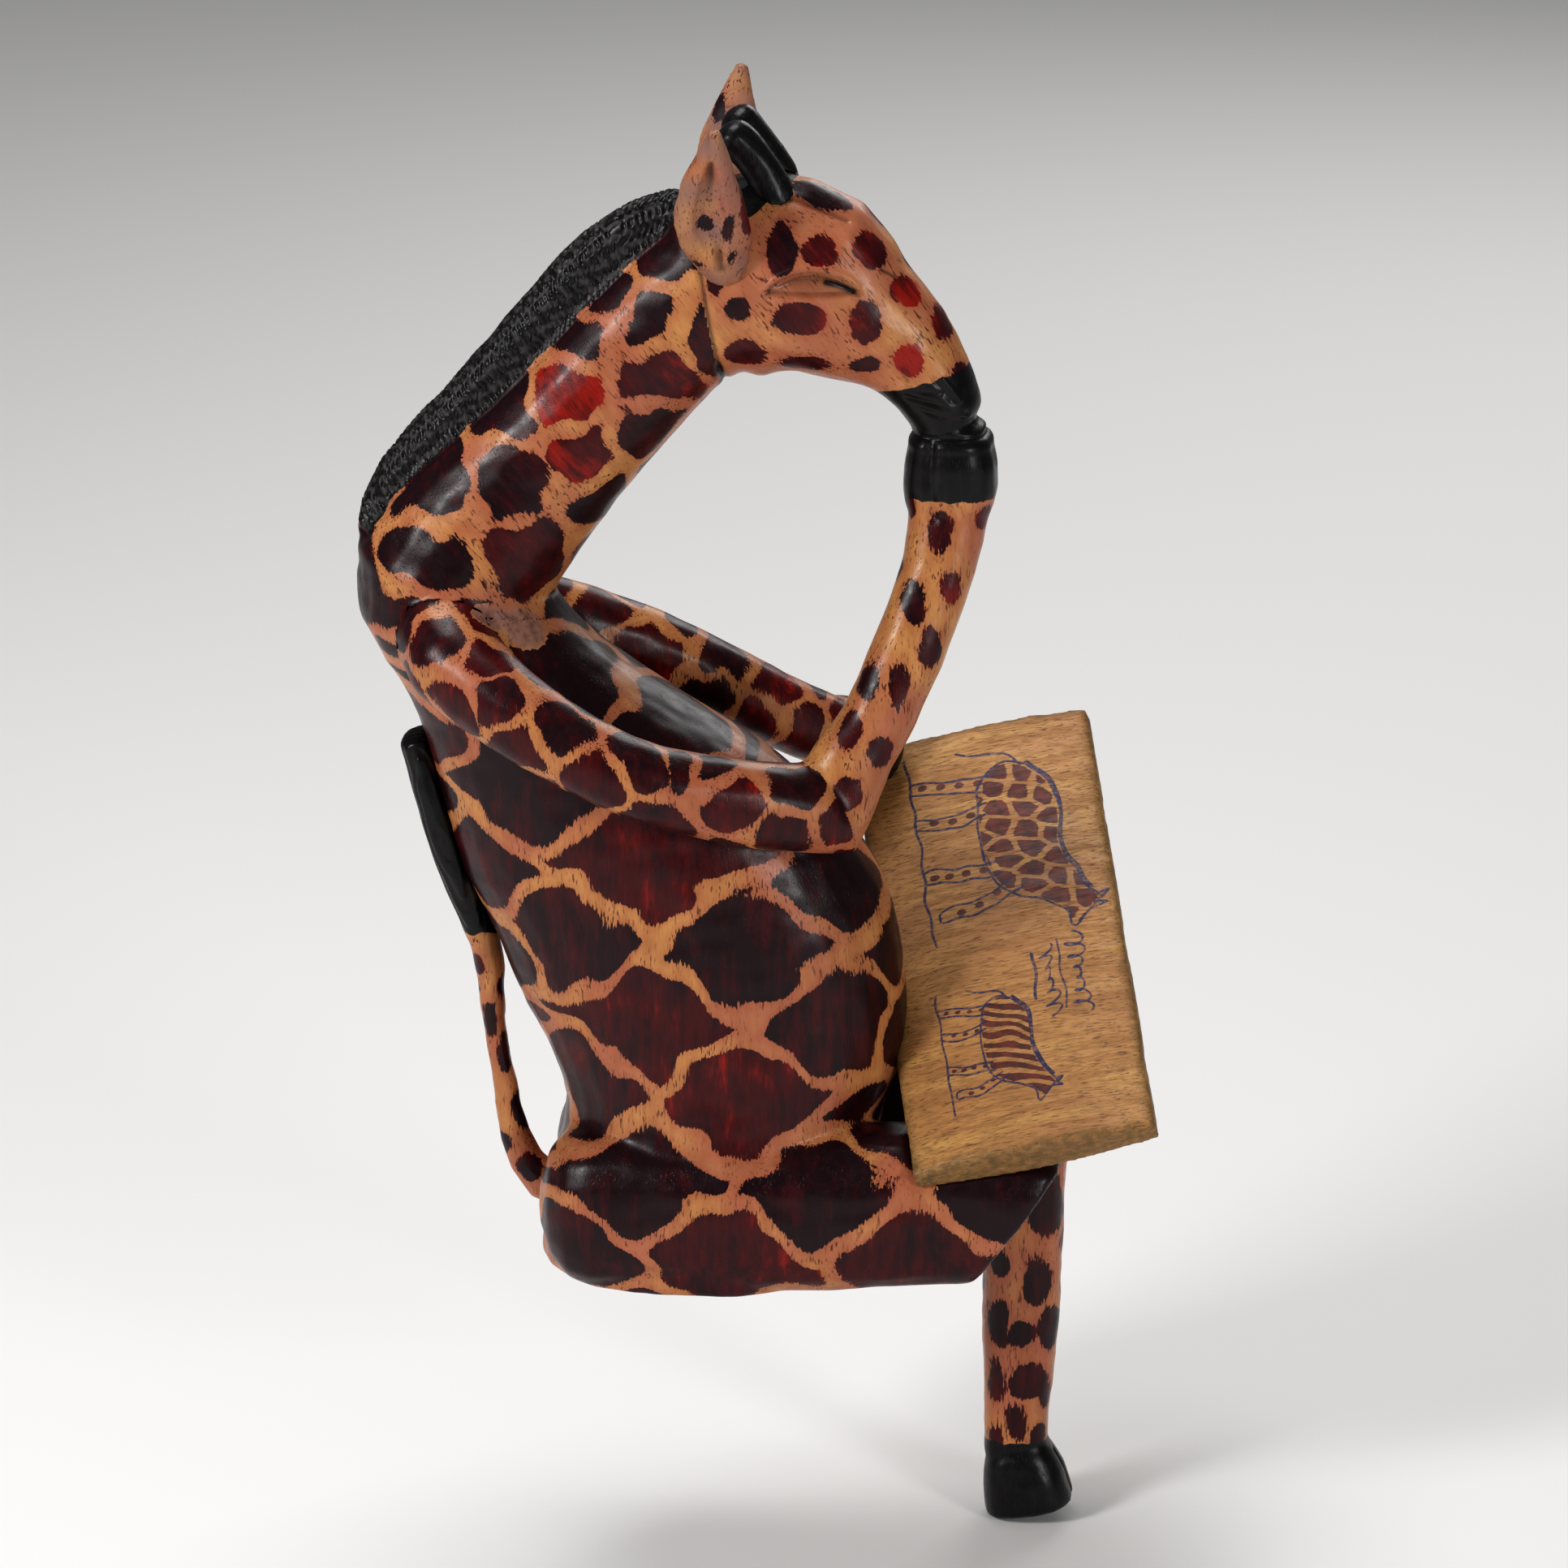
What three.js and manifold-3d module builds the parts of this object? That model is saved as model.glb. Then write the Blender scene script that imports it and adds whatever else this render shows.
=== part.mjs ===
// Carved wooden giraffe, a shelf sitter: it sits on a shelf edge, reads a slab book on its lap
// and rests its chin on one hoof. Millimetres, +Z up, the giraffe faces +X, its right side is -Y.
// The origin is on the flat underside of the seat, which rests on the shelf.
import * as THREE from 'three';
import { mergeVertices } from 'three/addons/utils/BufferGeometryUtils.js';
import Module from 'manifold-3d';

const wasm = await Module();
wasm.setup();

// ---------- driving dimensions ----------
const GAP = 0.3; // glue line left between two fitted pieces
const SEAT_Z = 0; // the sawn underside of rump and thighs
const DOWEL_RADIUS = 2.5;
const PEG_RADIUS = 1.5;
const BOOK = { length: 110, width: 51, edge: 4.6, middle: 8.6 };
const BOOK_NEAR_LEFT = new THREE.Vector3(35.5, -30, 27.5);
const BOOK_NEAR_RIGHT = new THREE.Vector3(84.6, -29.5, 40);
const BOOK_FAR_LEFT = new THREE.Vector3(15.8, 60, 88.5);

// Glue planes: a point on the plane and the direction of its normal.
const NECK_PLANE = { at: [-60, 0, 143], normal: [0.16, 0, 0.99] };
const HEAD_PLANE = { at: [-9, 0, 208], normal: [0.986, 0, 0.168] };
const ELBOW_PLANE = { at: [16.5, -17, 103.4], normal: [0.797, 0.442, 0.412] };
const LEFT_KNEE_PLANE = { at: [53, 18, 22], normal: [0.64, 0, -0.77] };

// ---------- solids ----------
const vector = (values) => new THREE.Vector3(...values);

function solid(geometry) {
  const bare = geometry.clone();
  bare.deleteAttribute('normal');
  bare.deleteAttribute('uv');
  const merged = mergeVertices(bare, 1e-4);
  return new wasm.Manifold(new wasm.Mesh({
    numProp: 3,
    vertProperties: new Float32Array(merged.attributes.position.array),
    triVerts: new Uint32Array(merged.index.array),
  }));
}

function geometryOf(body) {
  const mesh = body.getMesh();
  const geometry = new THREE.BufferGeometry();
  geometry.setAttribute('position', new THREE.BufferAttribute(new Float32Array(mesh.vertProperties), 3));
  geometry.setIndex(new THREE.BufferAttribute(new Uint32Array(mesh.triVerts), 1));
  geometry.computeVertexNormals();
  return geometry;
}

const join = (...bodies) => bodies.reduce((all, body) => all.add(body));

// A carved form through stations [x, y, z, half width, half depth]: a smooth curve carries
// rounded sections, the width across `across` and the depth at right angles to it. The ends
// are domes. `squareness` 2 is an ellipse and more is boxier.
function carve(stations, { across = [0, 1, 0], around = 24, step = 5, level = false,
  squareness = 2.2, dome = 0.8, grow = 0 } = {}) {
  const path = new THREE.CatmullRomCurve3(stations.map((s) => vector(s.slice(0, 3))), false, 'centripetal');
  const girth = new THREE.CatmullRomCurve3(stations.map((s) => new THREE.Vector3(s[3], s[4], 0)));
  const rows = Math.max(6, Math.round(path.getLength() / step));
  const rings = [];
  const ring = (t, shift, scale) => {
    const along = level ? new THREE.Vector3(0, 0, 1) : path.getTangent(t);
    const wide = vector(across);
    wide.addScaledVector(along, -wide.dot(along)).normalize();
    const deep = new THREE.Vector3().crossVectors(along, wide);
    const half = girth.getPoint(t);
    rings.push({
      centre: path.getPoint(t).addScaledVector(along, shift),
      wide: wide.multiplyScalar((half.x + grow) * scale),
      deep: deep.multiplyScalar((half.y + grow) * scale),
    });
  };
  const domeHeight = (t) => {
    const half = girth.getPoint(t);
    return (Math.min(half.x, half.y) + grow) * dome;
  };
  const lifts = [0.97, 0.75, 0.42];
  lifts.forEach((lift) => ring(0, -lift * domeHeight(0), Math.sqrt(1 - lift * lift)));
  for (let i = 0; i <= rows; i += 1) ring(i / rows, 0, 1);
  lifts.reverse().forEach((lift) => ring(1, lift * domeHeight(1), Math.sqrt(1 - lift * lift)));

  const points = [];
  const power = 2 / squareness;
  rings.forEach(({ centre, wide, deep }) => {
    for (let k = 0; k < around; k += 1) {
      const angle = (2 * Math.PI * k) / around;
      const c = Math.sign(Math.cos(angle)) * Math.abs(Math.cos(angle)) ** power;
      const s = Math.sign(Math.sin(angle)) * Math.abs(Math.sin(angle)) ** power;
      const p = centre.clone().addScaledVector(wide, c).addScaledVector(deep, s);
      points.push(p.x, p.y, p.z);
    }
  });
  const faces = [];
  for (let row = 0; row < rings.length - 1; row += 1) {
    for (let k = 0; k < around; k += 1) {
      const a = row * around + k;
      const b = row * around + ((k + 1) % around);
      faces.push(a, b, b + around, a, b + around, a + around);
    }
  }
  const closeEnd = (row, flip) => {
    const first = row * around;
    const centre = rings[row].centre;
    const pole = points.length / 3;
    points.push(centre.x, centre.y, centre.z);
    for (let k = 0; k < around; k += 1) {
      const a = first + k;
      const b = first + ((k + 1) % around);
      faces.push(...(flip ? [pole, b, a] : [pole, a, b]));
    }
  };
  closeEnd(0, true);
  closeEnd(rings.length - 1, false);
  const geometry = new THREE.BufferGeometry();
  geometry.setAttribute('position', new THREE.Float32BufferAttribute(points, 3));
  geometry.setIndex(faces);
  return solid(geometry);
}

// Everything on the side of a plane that its normal points to, moved `shift` along the normal.
function beyond({ at, normal }, shift = GAP / 2, side = 1) {
  const reach = 500;
  const direction = vector(normal).normalize().multiplyScalar(side);
  const box = new THREE.BoxGeometry(reach, reach, reach);
  box.translate(0, 0, reach / 2 + shift);
  box.applyQuaternion(new THREE.Quaternion().setFromUnitVectors(new THREE.Vector3(0, 0, 1), direction));
  box.translate(...at);
  return solid(box);
}
const before = (plane, shift = GAP / 2) => beyond(plane, shift, -1);

// A round wooden pin centred at a point, along a direction.
function pin(at, direction, radius, length) {
  const rod = new THREE.CylinderGeometry(radius, radius, length, 12);
  const up = new THREE.Vector3(0, 1, 0);
  rod.applyQuaternion(new THREE.Quaternion().setFromUnitVectors(up, vector(direction).normalize()));
  rod.translate(...at);
  return solid(rod);
}

// ---------- trunk, neck and head: one carved run, sawn at the glue planes ----------
function trunk(grow = 0) {
  return carve([
    [-12, 0, 2, 32.5, 28.5], [-10, 0, 18, 32.5, 29], [-6.5, 0, 33, 32.5, 27], [-5.5, 0, 45, 36.5, 26],
    [-8.5, 0, 58, 40, 26], [-11.5, 0, 70, 41.5, 26], [-17, 0, 84, 43, 25.5], [-23, 0, 96, 40.5, 25],
    [-31, 0, 108, 35.2, 24], [-42.5, 0, 120, 27.6, 22.5], [-53, 0, 130, 22.6, 21.5],
    [-60, 0, 139, 21, 20], [-62.4, 0, 147, 19, 15.5],
  ], { across: [1, 0, 0], level: true, around: 30, step: 7.5, dome: 0.6, grow });
}

function thigh(side, grow = 0) {
  const right = [
    [-32, -15.8, 16, 14.2, 17], [-10, -16.5, 16.5, 15, 17.5], [12, -16.3, 16.5, 14.3, 17.3],
    [32, -16, 17.5, 13, 16.8], [48, -17, 18, 12, 15.5], [60, -18, 19, 11, 13.5],
  ];
  const left = [
    [-32, 15.5, 16, 14, 17], [-10, 16, 17.5, 14.8, 18.5], [12, 16, 20, 13.8, 18.5],
    [32, 17, 22, 12.5, 18], [44, 18, 24, 11, 15], [53, 18, 24, 9.5, 11],
  ];
  return carve(side < 0 ? right : left, { squareness: 2.5, around: 18, step: 8, grow });
}

const neckRun = (grow = 0) => carve([
  [-61, 0, 137, 19.5, 17.5], [-62.2, 0, 146, 19.5, 19.8], [-55, 0, 157, 17, 19], [-44, 0, 170, 14.5, 17],
  [-29.5, 0, 187, 13.5, 16], [-16.5, 0, 201, 13.5, 16], [-6, 0, 208.5, 14, 18.5], [2, 0, 210.5, 14, 19],
], { around: 22, step: 8, grow });

// The mane stands proud of the neck as a narrow ridge from the withers to the skull.
const maneRun = (grow = 0) => carve([
  [-73.4, 0, 153.5, 5, 8.5], [-70.6, 0, 160.5, 5.5, 10], [-63.6, 0, 169.2, 5.5, 10.7],
  [-54.3, 0, 179.5, 5.5, 10.7], [-42.7, 0, 192.7, 5.5, 11.2], [-32.2, 0, 205.3, 5.5, 11.2],
  [-23.5, 0, 214, 5.5, 11], [-12.5, 0, 219, 5, 10],
], { around: 12, step: 9, squareness: 3, dome: 0.6, grow });

function skull(grow = 0) {
  return carve([
    [-12, 0, 208.5, 13, 17.5], [0.3, 0, 211, 14, 21.3], [11.5, 0, 209, 14, 20], [21, 0, 203, 12.4, 15],
    [28.8, 0, 197.5, 10.6, 11.6], [34, 0, 191.8, 9.4, 9.3], [37.6, 0, 186, 8.8, 8],
    [39.4, 0, 182, 8, 7],
  ], { around: 22, step: 5, dome: 0.35, grow });
}

// ---------- limbs ----------
// The right upper arm lies along the ribs and swings in to the elbow above the belly.
const upperArm = (grow = 0) => carve([
  [-62, -15, 138, 9.5, 9.5], [-60, -21, 134.5, 9.3, 9.3], [-48, -27.5, 126.7, 8.4, 8.6],
  [-35, -30.5, 119.2, 7.8, 8], [-21.8, -30.5, 113, 7.8, 8.2], [-8.2, -28, 108.9, 8.2, 8.8],
  [4.1, -24, 105.9, 8.6, 9.2], [16.5, -17, 103.4, 8.8, 9.6], [22.5, -13.5, 102.2, 8.8, 9.6],
], { across: [0, 0, 1], around: 16, step: 7, squareness: 2.3, dome: 0.5, grow });

// The forearm rises from the elbow to the hoof under the chin.
const foreArm = (grow = 0) => carve([
  [12.5, -19, 95.5, 7.5, 8.8], [16.5, -17, 103.4, 8, 9], [21.3, -14.5, 113.4, 7.4, 7.8],
  [26.6, -11.5, 122, 7.2, 7.2], [33.1, -7.5, 137.6, 7, 7.3], [38, -3.5, 152.3, 7, 7.4],
  [39.9, -0.5, 163.3, 7.4, 8],
], { around: 16, step: 7, squareness: 2.5, dome: 0.3, grow });
const chinHoof = (grow = 0) => carve([
  [39.6, 0, 163.5, 8.3, 8.8], [39.9, 0, 168, 9, 9.6], [40, 0, 173, 9, 9.4], [39.8, 0, 179, 7.8, 7.6],
], { around: 16, step: 4, squareness: 2.7, dome: 0.35, grow });

// The left arm reaches across behind the chin to the far corner of the book.
const leftArm = (grow = 0) => carve([
  [-60, 15, 137, 9, 9], [-52, 20.5, 133, 8.6, 8.6], [-34, 27, 126.5, 8, 8], [-12, 33, 115.3, 7.8, 7.8],
  [6, 41, 103.5, 7.6, 7.6], [13, 46, 99, 7.5, 7.5],
], { across: [0, 0, 1], around: 16, step: 8, dome: 0.4, grow });
const leftHandHoof = (grow = 0) => carve([
  [12, 45.5, 99.4, 8, 8.2], [16, 49, 97, 9, 9], [20.5, 53.5, 94.8, 8.4, 8.6],
], { across: [0, 0, 1], around: 16, step: 4, squareness: 2.6, dome: 0.4, grow });

// The right shin folds in from the knee and crosses over the left thigh under the book.
const rightShin = (grow = 0) => carve([
  [52, -12, 21, 7.6, 7.6], [55, -2, 30, 7.4, 7.2], [52, 10, 42, 6.8, 6.6], [47, 24, 48.5, 6.4, 6.2],
  [42, 35, 50, 6.4, 6.2],
], { across: [1, 0, 0], around: 16, step: 7, dome: 0.4, grow });
const rightFootHoof = (grow = 0) => carve([
  [43, 33, 49.8, 7, 7], [40.5, 38.5, 50.3, 8.6, 8], [37.5, 45, 50.5, 8.2, 7.6],
], { across: [1, 0, 0], around: 16, step: 4, squareness: 2.6, dome: 0.35, grow });

// The left shin hangs straight down over the shelf edge.
const leftShin = (grow = 0) => carve([
  [55.5, 18, 30, 8.5, 9.5], [55.4, 18, 20, 8, 9], [55.2, 18, 5, 7.5, 8.4], [54.9, 18, -12, 7, 8.2],
  [54.4, 18, -29, 6.3, 7.6], [53.8, 18, -44, 6, 6.6], [54, 18, -50, 6.4, 6.9],
], { around: 16, step: 8, squareness: 2.4, dome: 0.2, grow });
const leftFootHoof = (grow = 0) => carve([
  [54, 18, -50, 7, 7], [55.6, 18, -55.5, 8.2, 8.7], [57, 18, -62, 8.6, 9.5],
], { around: 16, step: 4, squareness: 2.8, dome: 0.12, grow });

// The tail leaves the rump, bows out clear of the back and ends in a tuft lying on the back.
const tailRun = (grow = 0) => carve([
  [-36, 0, 13, 4.6, 5.2], [-44.5, 0, 14.5, 4, 4.4], [-50.3, 0, 24.5, 3, 3.2], [-52.6, 0, 38, 2.6, 2.4],
  [-54.6, 0, 50, 2.6, 2.4], [-55, 0, 60, 3.4, 3], [-56.8, 0, 70, 5, 3.4],
], { around: 12, step: 5.5, squareness: 2, dome: 0.5, grow });
const tuftRun = (grow = 0) => carve([
  [-56.4, 0, 68, 4.6, 3.2], [-60.4, 0, 80, 7.2, 4], [-64.2, 0, 92, 8, 4.2], [-67.6, 0, 104, 7.4, 4],
  [-69.4, 0, 110.5, 6.4, 3.8],
], { around: 14, step: 6, squareness: 2.4, dome: 0.6, grow });

// Leaf-shaped ears flare out from the skull, and each is hollowed on its outer face.
function ear(side, grow = 0) {
  const y = (value) => side * value;
  const leaf = carve([
    [-4.5, y(10), 211, 3.4, 3], [-5.3, y(14), 217, 5.6, 3.1], [-6.5, y(18.2), 224, 7.7, 2.9],
    [-6.8, y(22), 231.5, 6.8, 2.7], [-6, y(26), 240, 3.8, 2.2], [-5.2, y(28.8), 246.2, 1.3, 1.3],
  ], { across: [1, 0, 0], around: 14, step: 4.5, squareness: 2, dome: 0.8, grow });
  const hollow = carve([
    [-5.4, y(18), 215.5, 0.7, 1], [-6.7, y(22), 224.8, 4, 2.2], [-6.7, y(25), 231.8, 3.2, 2],
    [-5.9, y(28.6), 240.2, 1, 1.2],
  ], { across: [1, 0, 0], around: 10, step: 5, squareness: 2 });
  return grow > 0 ? leaf : leaf.subtract(hollow);
}

// Two short horns lean back from the brow and end in knobs.
const horn = (side, grow = 0) => carve([
  [6.5, side * 5.6, 223, 4.2, 4.4], [4, side * 5.8, 230.5, 3.9, 4.1], [0, side * 6, 236.8, 3.8, 3.9],
  [-3.6, side * 6.2, 240.6, 4.3, 4],
], { around: 14, step: 4, squareness: 2, dome: 0.8, grow });

// ---------- the book: a slab, thicker along its middle than at its long edges ----------
const bookAcross = BOOK_NEAR_RIGHT.clone().sub(BOOK_NEAR_LEFT).normalize();
const bookAlong = BOOK_FAR_LEFT.clone().sub(BOOK_NEAR_LEFT);
bookAlong.addScaledVector(bookAcross, -bookAlong.dot(bookAcross)).normalize();
const bookUp = new THREE.Vector3().crossVectors(bookAcross, bookAlong);
const bookSkew = BOOK_FAR_LEFT.clone().sub(BOOK_NEAR_LEFT).dot(bookAcross) / BOOK.length;

function bookSlab(grow = 0) {
  const half = BOOK.width / 2 + grow;
  const edge = BOOK.edge / 2 + grow;
  const crown = BOOK.middle / 2 + grow;
  const control = 2 * crown - edge;
  const outline = new THREE.Shape();
  outline.moveTo(-half, -edge);
  outline.quadraticCurveTo(0, -control, half, -edge);
  outline.lineTo(half, edge);
  outline.quadraticCurveTo(0, control, -half, edge);
  outline.closePath();
  const slab = new THREE.ExtrudeGeometry(outline, {
    depth: BOOK.length + 2 * grow, steps: 1, curveSegments: 14, bevelEnabled: false,
  });
  slab.translate(BOOK.width / 2, 0, -grow);
  const shear = new THREE.Matrix4().set(1, 0, bookSkew, 0, 0, 1, 0, 0, 0, 0, 1, 0, 0, 0, 0, 1);
  slab.applyMatrix4(shear);
  const place = new THREE.Matrix4().makeBasis(bookAcross, bookUp, bookAlong.clone());
  place.setPosition(BOOK_NEAR_LEFT);
  slab.applyMatrix4(place);
  // The book's frame is left-handed, so each triangle is turned over to face outward.
  const corners = slab.attributes.position;
  for (let i = 0; i < corners.count; i += 3) {
    const first = new THREE.Vector3().fromBufferAttribute(corners, i);
    corners.setXYZ(i, corners.getX(i + 1), corners.getY(i + 1), corners.getZ(i + 1));
    corners.setXYZ(i + 1, first.x, first.y, first.z);
  }
  return solid(slab);
}

// ---------- assembly ----------
// The right thigh is cut off square at the knee.
const KNEE_FACE = { at: [57.5, -18, 18.5], normal: [0.82, 0, -0.57] };
const aboveSeat = beyond({ at: [0, 0, SEAT_Z], normal: [0, 0, 1] }, 0);
const rightThigh = (grow) => thigh(-1, grow).intersect(before(KNEE_FACE, 0));
// The whole carved run, grown by the glue gap where another piece is fitted against it.
const body = (grow = 0) => join(
  trunk(grow), rightThigh(grow), thigh(1, grow), neckRun(grow), maneRun(grow), skull(grow),
);
const wholeBody = body().intersect(aboveSeat);
const grownBody = body(GAP);

const EAR_PEG = { radius: 1.2, length: 8 };
const dowels = {
  book_peg: { at: [45, -16, 32.6], along: bookUp.toArray(), radius: DOWEL_RADIUS, length: 10 },
  neck_dowel: { at: NECK_PLANE.at, along: NECK_PLANE.normal, radius: 4, length: 30 },
  head_dowel: { at: HEAD_PLANE.at, along: HEAD_PLANE.normal, radius: 3.5, length: 22 },
  right_shoulder_dowel: { at: [-60, -18.5, 135], along: [0, 1, 0.08], radius: DOWEL_RADIUS, length: 16 },
  left_shoulder_dowel: { at: [-55, 17.5, 134], along: [0, 1, -0.08], radius: DOWEL_RADIUS, length: 16 },
  right_elbow_dowel: { at: ELBOW_PLANE.at, along: ELBOW_PLANE.normal, radius: DOWEL_RADIUS, length: 14 },
  right_knee_dowel: { at: [54, -5.5, 27], along: [0.1, 0.75, 0.65], radius: DOWEL_RADIUS, length: 13 },
  left_knee_dowel: {
    at: LEFT_KNEE_PLANE.at, along: LEFT_KNEE_PLANE.normal, radius: DOWEL_RADIUS, length: 14,
  },
  tail_peg: { at: [-40, 0, 14], along: [1, 0, 0], radius: PEG_RADIUS, length: 9 },
  right_ear_peg: { at: [-5, -12.6, 214.5], along: [0, 0.75, -0.66], ...EAR_PEG },
  left_ear_peg: { at: [-5, 12.6, 214.5], along: [0, -0.75, -0.66], ...EAR_PEG },
};

const clearance = (name) => {
  const { at, along, radius, length } = dowels[name];
  return pin(at, along, radius + GAP, length + 2 * GAP);
};
const drilled = (piece, ...names) => names.reduce((left, name) => left.subtract(clearance(name)), piece);

const arm = join(foreArm(), chinHoof());
const leftLeg = join(leftShin(), leftFootHoof());
const grownLeftLeg = join(leftShin(GAP), leftFootHoof(GAP)).intersect(beyond(LEFT_KNEE_PLANE, -GAP / 2));

const torso = wholeBody.intersect(before(NECK_PLANE)).subtract(bookSlab(GAP)).subtract(grownLeftLeg);
const neck = wholeBody.intersect(beyond(NECK_PLANE)).intersect(before(HEAD_PLANE));
const head = wholeBody.intersect(beyond(NECK_PLANE)).intersect(beyond(HEAD_PLANE));
const armGrown = join(foreArm(GAP), chinHoof(GAP)).intersect(beyond(ELBOW_PLANE, -GAP / 2));

const shoulderOpening = upperArm().intersect(before(ELBOW_PLANE)).subtract(grownBody);
const pieces = {
  torso: drilled(torso, 'neck_dowel', 'right_shoulder_dowel', 'left_shoulder_dowel', 'right_knee_dowel',
    'left_knee_dowel', 'tail_peg', 'book_peg'),
  neck: drilled(neck, 'neck_dowel', 'head_dowel'),
  head: drilled(head, 'head_dowel', 'right_ear_peg', 'left_ear_peg'),
  right_ear: drilled(ear(-1).subtract(grownBody), 'right_ear_peg'),
  left_ear: drilled(ear(1).subtract(grownBody), 'left_ear_peg'),
  right_horn: horn(-1).subtract(grownBody),
  left_horn: horn(1).subtract(grownBody),
  right_upper_arm: drilled(shoulderOpening.subtract(armGrown), 'right_shoulder_dowel', 'right_elbow_dowel'),
  right_forearm: drilled(arm.intersect(beyond(ELBOW_PLANE)).subtract(grownBody), 'right_elbow_dowel'),
  left_arm: drilled(join(leftArm(), leftHandHoof()).subtract(grownBody).subtract(bookSlab(GAP)),
    'left_shoulder_dowel'),
  right_shin: drilled(join(rightShin(), rightFootHoof()).subtract(grownBody), 'right_knee_dowel'),
  left_lower_leg: drilled(leftLeg.intersect(beyond(LEFT_KNEE_PLANE)), 'left_knee_dowel'),
  tail: drilled(join(tailRun(), tuftRun()).subtract(grownBody), 'tail_peg'),
  book: drilled(bookSlab(), 'book_peg'),
};
Object.entries(dowels).forEach(([name, { at, along, radius, length }]) => {
  pieces[name] = pin(at, along, radius, length);
});

// ---------- materials ----------
const paintedWood = { color: 0x6d2a1c, roughness: 0.35, metalness: 0 };
const blackWood = { color: 0x1f1b1d, roughness: 0.3, metalness: 0 };
const slabWood = { color: 0xb98d55, roughness: 0.5, metalness: 0 };
const dowelWood = { color: 0xc9a878, roughness: 0.7, metalness: 0 };
const finishOf = (name) => {
  if (name.endsWith('horn')) return blackWood;
  if (name === 'book') return slabWood;
  return name.endsWith('dowel') || name.endsWith('peg') ? dowelWood : paintedWood;
};

const giraffe = new THREE.Group();
Object.entries(pieces).forEach(([name, piece]) => {
  const mesh = new THREE.Mesh(geometryOf(piece), new THREE.MeshStandardMaterial(finishOf(name)));
  mesh.name = name;
  giraffe.add(mesh);
});

export default giraffe;
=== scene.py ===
# A carved wooden giraffe that sits on a shelf edge, reads a slab book on its lap and rests its
# chin on one hoof. The body is stained hardwood, glued up from separately carved pieces.
import math
import random

import bpy
import numpy as np
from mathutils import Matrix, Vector
from mathutils.bvhtree import BVHTree


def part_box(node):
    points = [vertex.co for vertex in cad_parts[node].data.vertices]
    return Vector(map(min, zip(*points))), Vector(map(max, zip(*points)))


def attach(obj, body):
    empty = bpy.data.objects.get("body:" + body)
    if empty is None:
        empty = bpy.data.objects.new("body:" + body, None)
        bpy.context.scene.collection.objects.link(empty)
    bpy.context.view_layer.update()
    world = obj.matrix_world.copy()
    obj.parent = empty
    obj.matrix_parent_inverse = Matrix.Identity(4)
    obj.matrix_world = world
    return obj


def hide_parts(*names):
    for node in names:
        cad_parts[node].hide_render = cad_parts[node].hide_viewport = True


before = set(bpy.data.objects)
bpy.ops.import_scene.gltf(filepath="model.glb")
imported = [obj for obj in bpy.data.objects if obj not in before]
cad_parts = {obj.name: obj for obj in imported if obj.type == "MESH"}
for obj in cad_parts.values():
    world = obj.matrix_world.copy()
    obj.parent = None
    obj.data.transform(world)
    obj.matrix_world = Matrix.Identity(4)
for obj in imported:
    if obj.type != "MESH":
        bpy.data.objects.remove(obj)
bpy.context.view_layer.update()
MM = 0.001

# ---- Camera, floor and studio light ----
# A long lens looks slightly down on the giraffe's right side, over a plain pale floor with
# large soft lamps, as in a product studio.
LOOK_AT = Vector((6 * MM, 0, 102.8 * MM))
AZIMUTH, ELEVATION = math.radians(5), math.radians(18)
DISTANCE = 1.789
camera_data = bpy.data.cameras.new("studio_camera")
camera_data.lens = 200
camera_data.sensor_width = 36
camera_data.clip_start = 0.05
camera_data.clip_end = 50
camera = bpy.data.objects.new("studio_camera", camera_data)
bpy.context.collection.objects.link(camera)
level = math.cos(ELEVATION)
towards_camera = Vector((math.sin(AZIMUTH) * level, -math.cos(AZIMUTH) * level, math.sin(ELEVATION)))
camera.location = LOOK_AT + DISTANCE * towards_camera
camera.rotation_euler = (-towards_camera).to_track_quat("-Z", "Y").to_euler()
bpy.context.scene.camera = camera


def linear(hex_colour):
    """An sRGB hex colour as linear red, green, blue and alpha."""
    channels = [int(hex_colour[i:i + 2], 16) / 255 for i in (1, 3, 5)]
    return [c / 12.92 if c <= 0.04045 else ((c + 0.055) / 1.055) ** 2.4 for c in channels] + [1.0]


def add_node(tree, kind, settings, *inputs, output=None):
    """Adds a shader node and returns one of its outputs.

    The inputs come in the node's own order. Each is a value, a hex colour or a socket to link.
    """
    node = tree.nodes.new(kind)
    for name, value in settings.items():
        setattr(node, name, value)
    shown = [socket for socket in node.inputs if socket.enabled]
    for socket, value in zip(shown, inputs):
        if isinstance(value, bpy.types.NodeSocket):
            tree.links.new(value, socket)
        else:
            socket.default_value = linear(value) if isinstance(value, str) else value
    return node.outputs[output] if output else next(o for o in node.outputs if o.enabled)


# The nodes that are used most, each with its settings.
NOISE = ("ShaderNodeTexNoise", {})
SMOOTH = ("ShaderNodeMapRange", {"interpolation_type": "SMOOTHSTEP"})
MIX = ("ShaderNodeMix", {"data_type": "RGBA"})
PLUS = ("ShaderNodeMath", {"operation": "ADD"})
MINUS = ("ShaderNodeMath", {"operation": "SUBTRACT"})
TIMES = ("ShaderNodeMath", {"operation": "MULTIPLY"})


def new_material(name):
    """A material whose tree holds only an output and a Principled shader."""
    material = bpy.data.materials.new(name)
    material.use_nodes = True
    tree = material.node_tree
    tree.nodes.clear()
    shader = tree.nodes.new("ShaderNodeBsdfPrincipled")
    output = tree.nodes.new("ShaderNodeOutputMaterial")
    tree.links.new(shader.outputs[0], output.inputs[0])
    return material, tree, shader


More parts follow.
